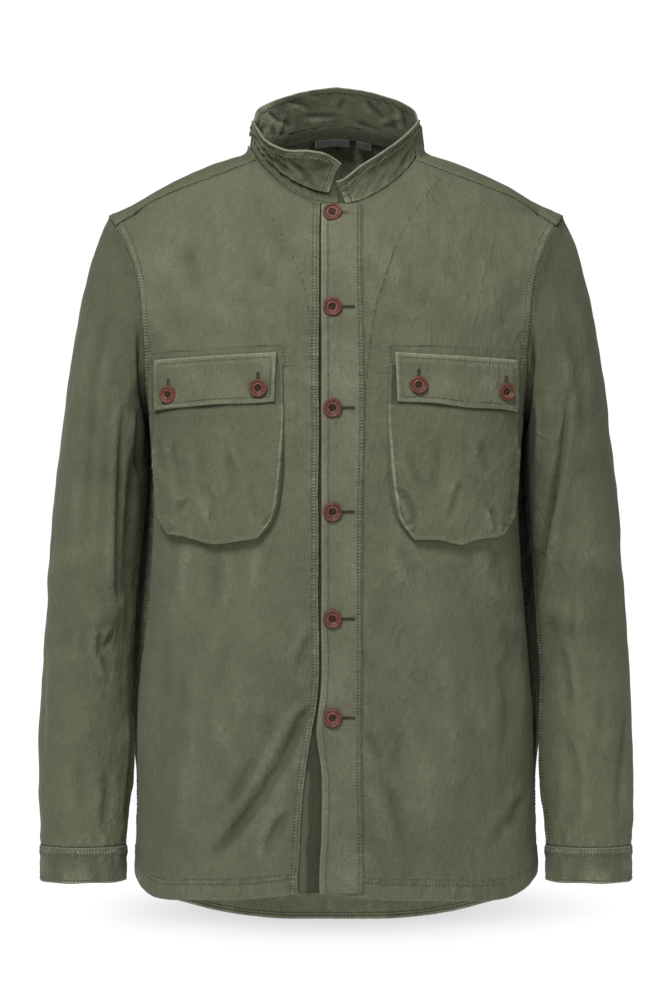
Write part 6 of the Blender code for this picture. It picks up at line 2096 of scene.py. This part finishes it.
def main():
    """All pieces, their materials, and the stage."""
    groups = {"seam": seam_group(), "drill": drill_group()}
    side_seam = (0, 1, *ARMHOLE_ROWS, 0.0005, 1.0, 0.0005)
    hem_seam = (1, 0, *HEM_ROWS, 0.0007, 0.7, 0.0003)
    edge_seam = (2, 1, *EDGE_ROWS, 0.0006, 0.8, 0.0005)
    yoke_seams = [(k, 0, *YOKE_ROWS, 0.0005, 1.0, 0.0005) for k in (1, 2)]
    rim_seam = (0, 0, COLLAR_ROW, COLLAR_ROW, 0.0006, 1.0, 0.0003)
    lines = [(3, 1, 0.0, 0.0, 0.0003), (4, 0, 0.0, 0.0, 0.0005), (5, 1, 0.0, 0.0, 0.0005)]
    hidden = (-0.01, -0.01)
    # painted shade: the insides, the cuffs' insides and the exposed button stand take the darker shaded olive
    inside = drill("drill_inside", OLIVE_INSIDE_SHADED, OLIVE, [], groups)
    # painted light: the back's inside is painted up to half again paler near its hem, where it shows under the
    # front
    back_inside = olive("back_inside", OLIVE, [(1, 0, 0.0040, 0.0070, 0.0003, 0.3)], groups,
                        faded=(-0.76, -0.66, 1.55, 1.0))
    yoke_inside = drill("drill_yoke_inside", OLIVE_DEEP, OLIVE_LIGHT, [], groups)
    # painted shade and light: the stand's and collar's insides use the shaded olive and their painted shading
    # attribute
    stand_inside = olive("stand_inside", OLIVE_COLLAR_INSIDE_SHADED, [], groups, wear_name="inside_painted_shading")
    collar_inside = olive("collar_inside", OLIVE_COLLAR_INSIDE_SHADED, [rim_seam], groups, wear_name="inside_painted_shading")
    front_drill = olive("front", OLIVE, [side_seam, hem_seam, edge_seam, *lines], groups, faded=BODY_HEIGHT_SHADE)
    back_drill = olive("back", OLIVE, [side_seam, hem_seam], groups, faded=BODY_HEIGHT_SHADE)
    yoke_drill = olive("yoke", OLIVE_LIGHT, [side_seam, *yoke_seams], groups)
    # painted shade: the sleeve's colour is painted darker higher up the arm
    sleeve_drill = olive("sleeve", OLIVE_DEEP, [
        (0, 1, 0.0002, 0.0068, 0.0006, 0.5), (1, 0, 0.0, 0.0, 0.0008), (2, 0, 0.0, 0.0, 0.0008)],
        groups, faded=(-0.50, -0.10, 0.92, 0.84))
    cuff_drill = olive("cuff", OLIVE_CUFF, [
        (0, 0, *CUFF_ROWS, 0.0007, 1.0, 0.0003), (1, 0, CUFF_BOTTOM_ROW, CUFF_BOTTOM_ROW, 0.0005, 0.7)], groups)
    leaf_drill = olive("collar", OLIVE_DEEP, [rim_seam, (1, 0, *hidden, 0.0005, 0.5)], groups)
    stand_drill = olive("stand", OLIVE_DEEP, [(0, 0, STAND_ROW, STAND_ROW, 0.0006, 0.8)], groups)
    placket_drill = olive("placket", OLIVE_LIGHT, [
        (0, 1, *PLACKET_ROWS, 0.0006, 0.4), (1, 1, PLACKET_INNER_ROW, PLACKET_INNER_ROW, 0.0003, 1.0)],
        groups, faded=BODY_HEIGHT_SHADE)
    pocket_drill = olive("pocket", OLIVE_DEEP, [
        (0, 1, *hidden, 0.0004, 0.7), (1, 0, *hidden, 0.0005, 0.3)], groups)
    flap_drill = olive("flap", OLIVE, [(0, 0, FLAP_ROW, FLAP_ROW, 0.0008, 1.9, 0.0005)], groups)
    thread = plain_thread("thread_olive", (0.200, 0.205, 0.140))
    dark_thread = plain_thread("thread_dark", (0.050, 0.046, 0.034))
    nut = corozo()
    tape = (label_tape(),) * 2

    fronts, sleeves = (front_drill, inside), (sleeve_drill, inside)
    right_edge, left_edge = (lambda z: float(curve(FRONT_EDGE, "x", z))), (lambda z: -PLACKET_EDGE)
    declare(front("front_right_cloth", -1, right_edge, fronts), "drill", "front_right")
    declare(front("front_left_cloth", 1, left_edge, fronts), "drill", "front_left")
    declare(back((back_drill, back_inside)), "drill", "back")
    declare(yoke((yoke_drill, yoke_inside)), "drill", "yoke")
    declare(sleeve("sleeve_right_cloth", -1, CREASES_SLEEVE_RIGHT, sleeves), "drill", "sleeve_right")
    declare(sleeve("sleeve_left_cloth", 1, CREASES_SLEEVE_LEFT, sleeves), "drill", "sleeve_left")
    declare(cuff("cuff_right_cloth", -1, (cuff_drill, inside)), "drill_worn", "cuff_right")
    declare(cuff("cuff_left_cloth", 1, (cuff_drill, inside)), "drill_worn", "cuff_left")
    declare(collar_stand((stand_drill, stand_inside)), "drill", "collar_stand")
    declare(collar_leaf((leaf_drill, collar_inside)), "drill_worn", "collar_leaf")
    declare(placket(placket_drill), "drill_worn", "placket")
    declare(button_stand(inside), "drill", "button_stand")
    for which, sign in (("right", -1), ("left", 1)):
        declare(pocket(f"pocket_{which}_cloth", sign, pocket_drill), "drill_worn", f"pocket_{which}")
        declare(flap(f"flap_{which}_cloth", sign, flap_drill), "drill_worn", f"flap_{which}")
    for node, x0, x1 in LABELS:
        declare(label(f"{node}_cloth", x0, x1, tape), "label", node)

    for rows in (FACING_RIGHT, FACING_LEFT):
        sew("facing", *smooth_line(rows))
    for rows in (PATCH_RIGHT, PATCH_LEFT):
        sew("patches", *drawn_line(rows))
    placket_top = LAY + DOUBLE_WALL
    flap_top = LAY + FLAP_CLEARANCE + DOUBLE_WALL
    chance = np.random.default_rng(12)
    spots = [(f"button_front_{n}", BUTTON_SIZE, BUTTON_LINE, z, placket_top + SEAM)
             for n, z in enumerate(FRONT_BUTTONS, 1)]
    spots += [(f"button_pocket_{n}", POCKET_BUTTON_SIZE, spot["x"], spot["z"], flap_top + SEAM)
              for n, spot in enumerate(POCKET_BUTTONS, 1)]
    for number, (node, size, x, z, lift) in enumerate(spots):
        tilt = chance.uniform(-0.07, 0.07, 2)
        turn_by = chance.uniform(0, np.pi / 2)
        made, axes = button(number, node, size, x, z, lift, tilt, turn_by, nut)
        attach(made, "root")
        thread_loops(node, axes, size, turn_by, dark_thread)
        if node.startswith("button_front"):
            buttonhole("buttonholes", x + 0.004, z, placket_top + 0.0001, 0.0170, False)
        else:
            buttonhole("buttonholes", x, z + 0.004, flap_top + 0.0001, 0.0110, True)
    make_sewing(thread, dark_thread)
    backdrop()
    light_and_camera()


main()
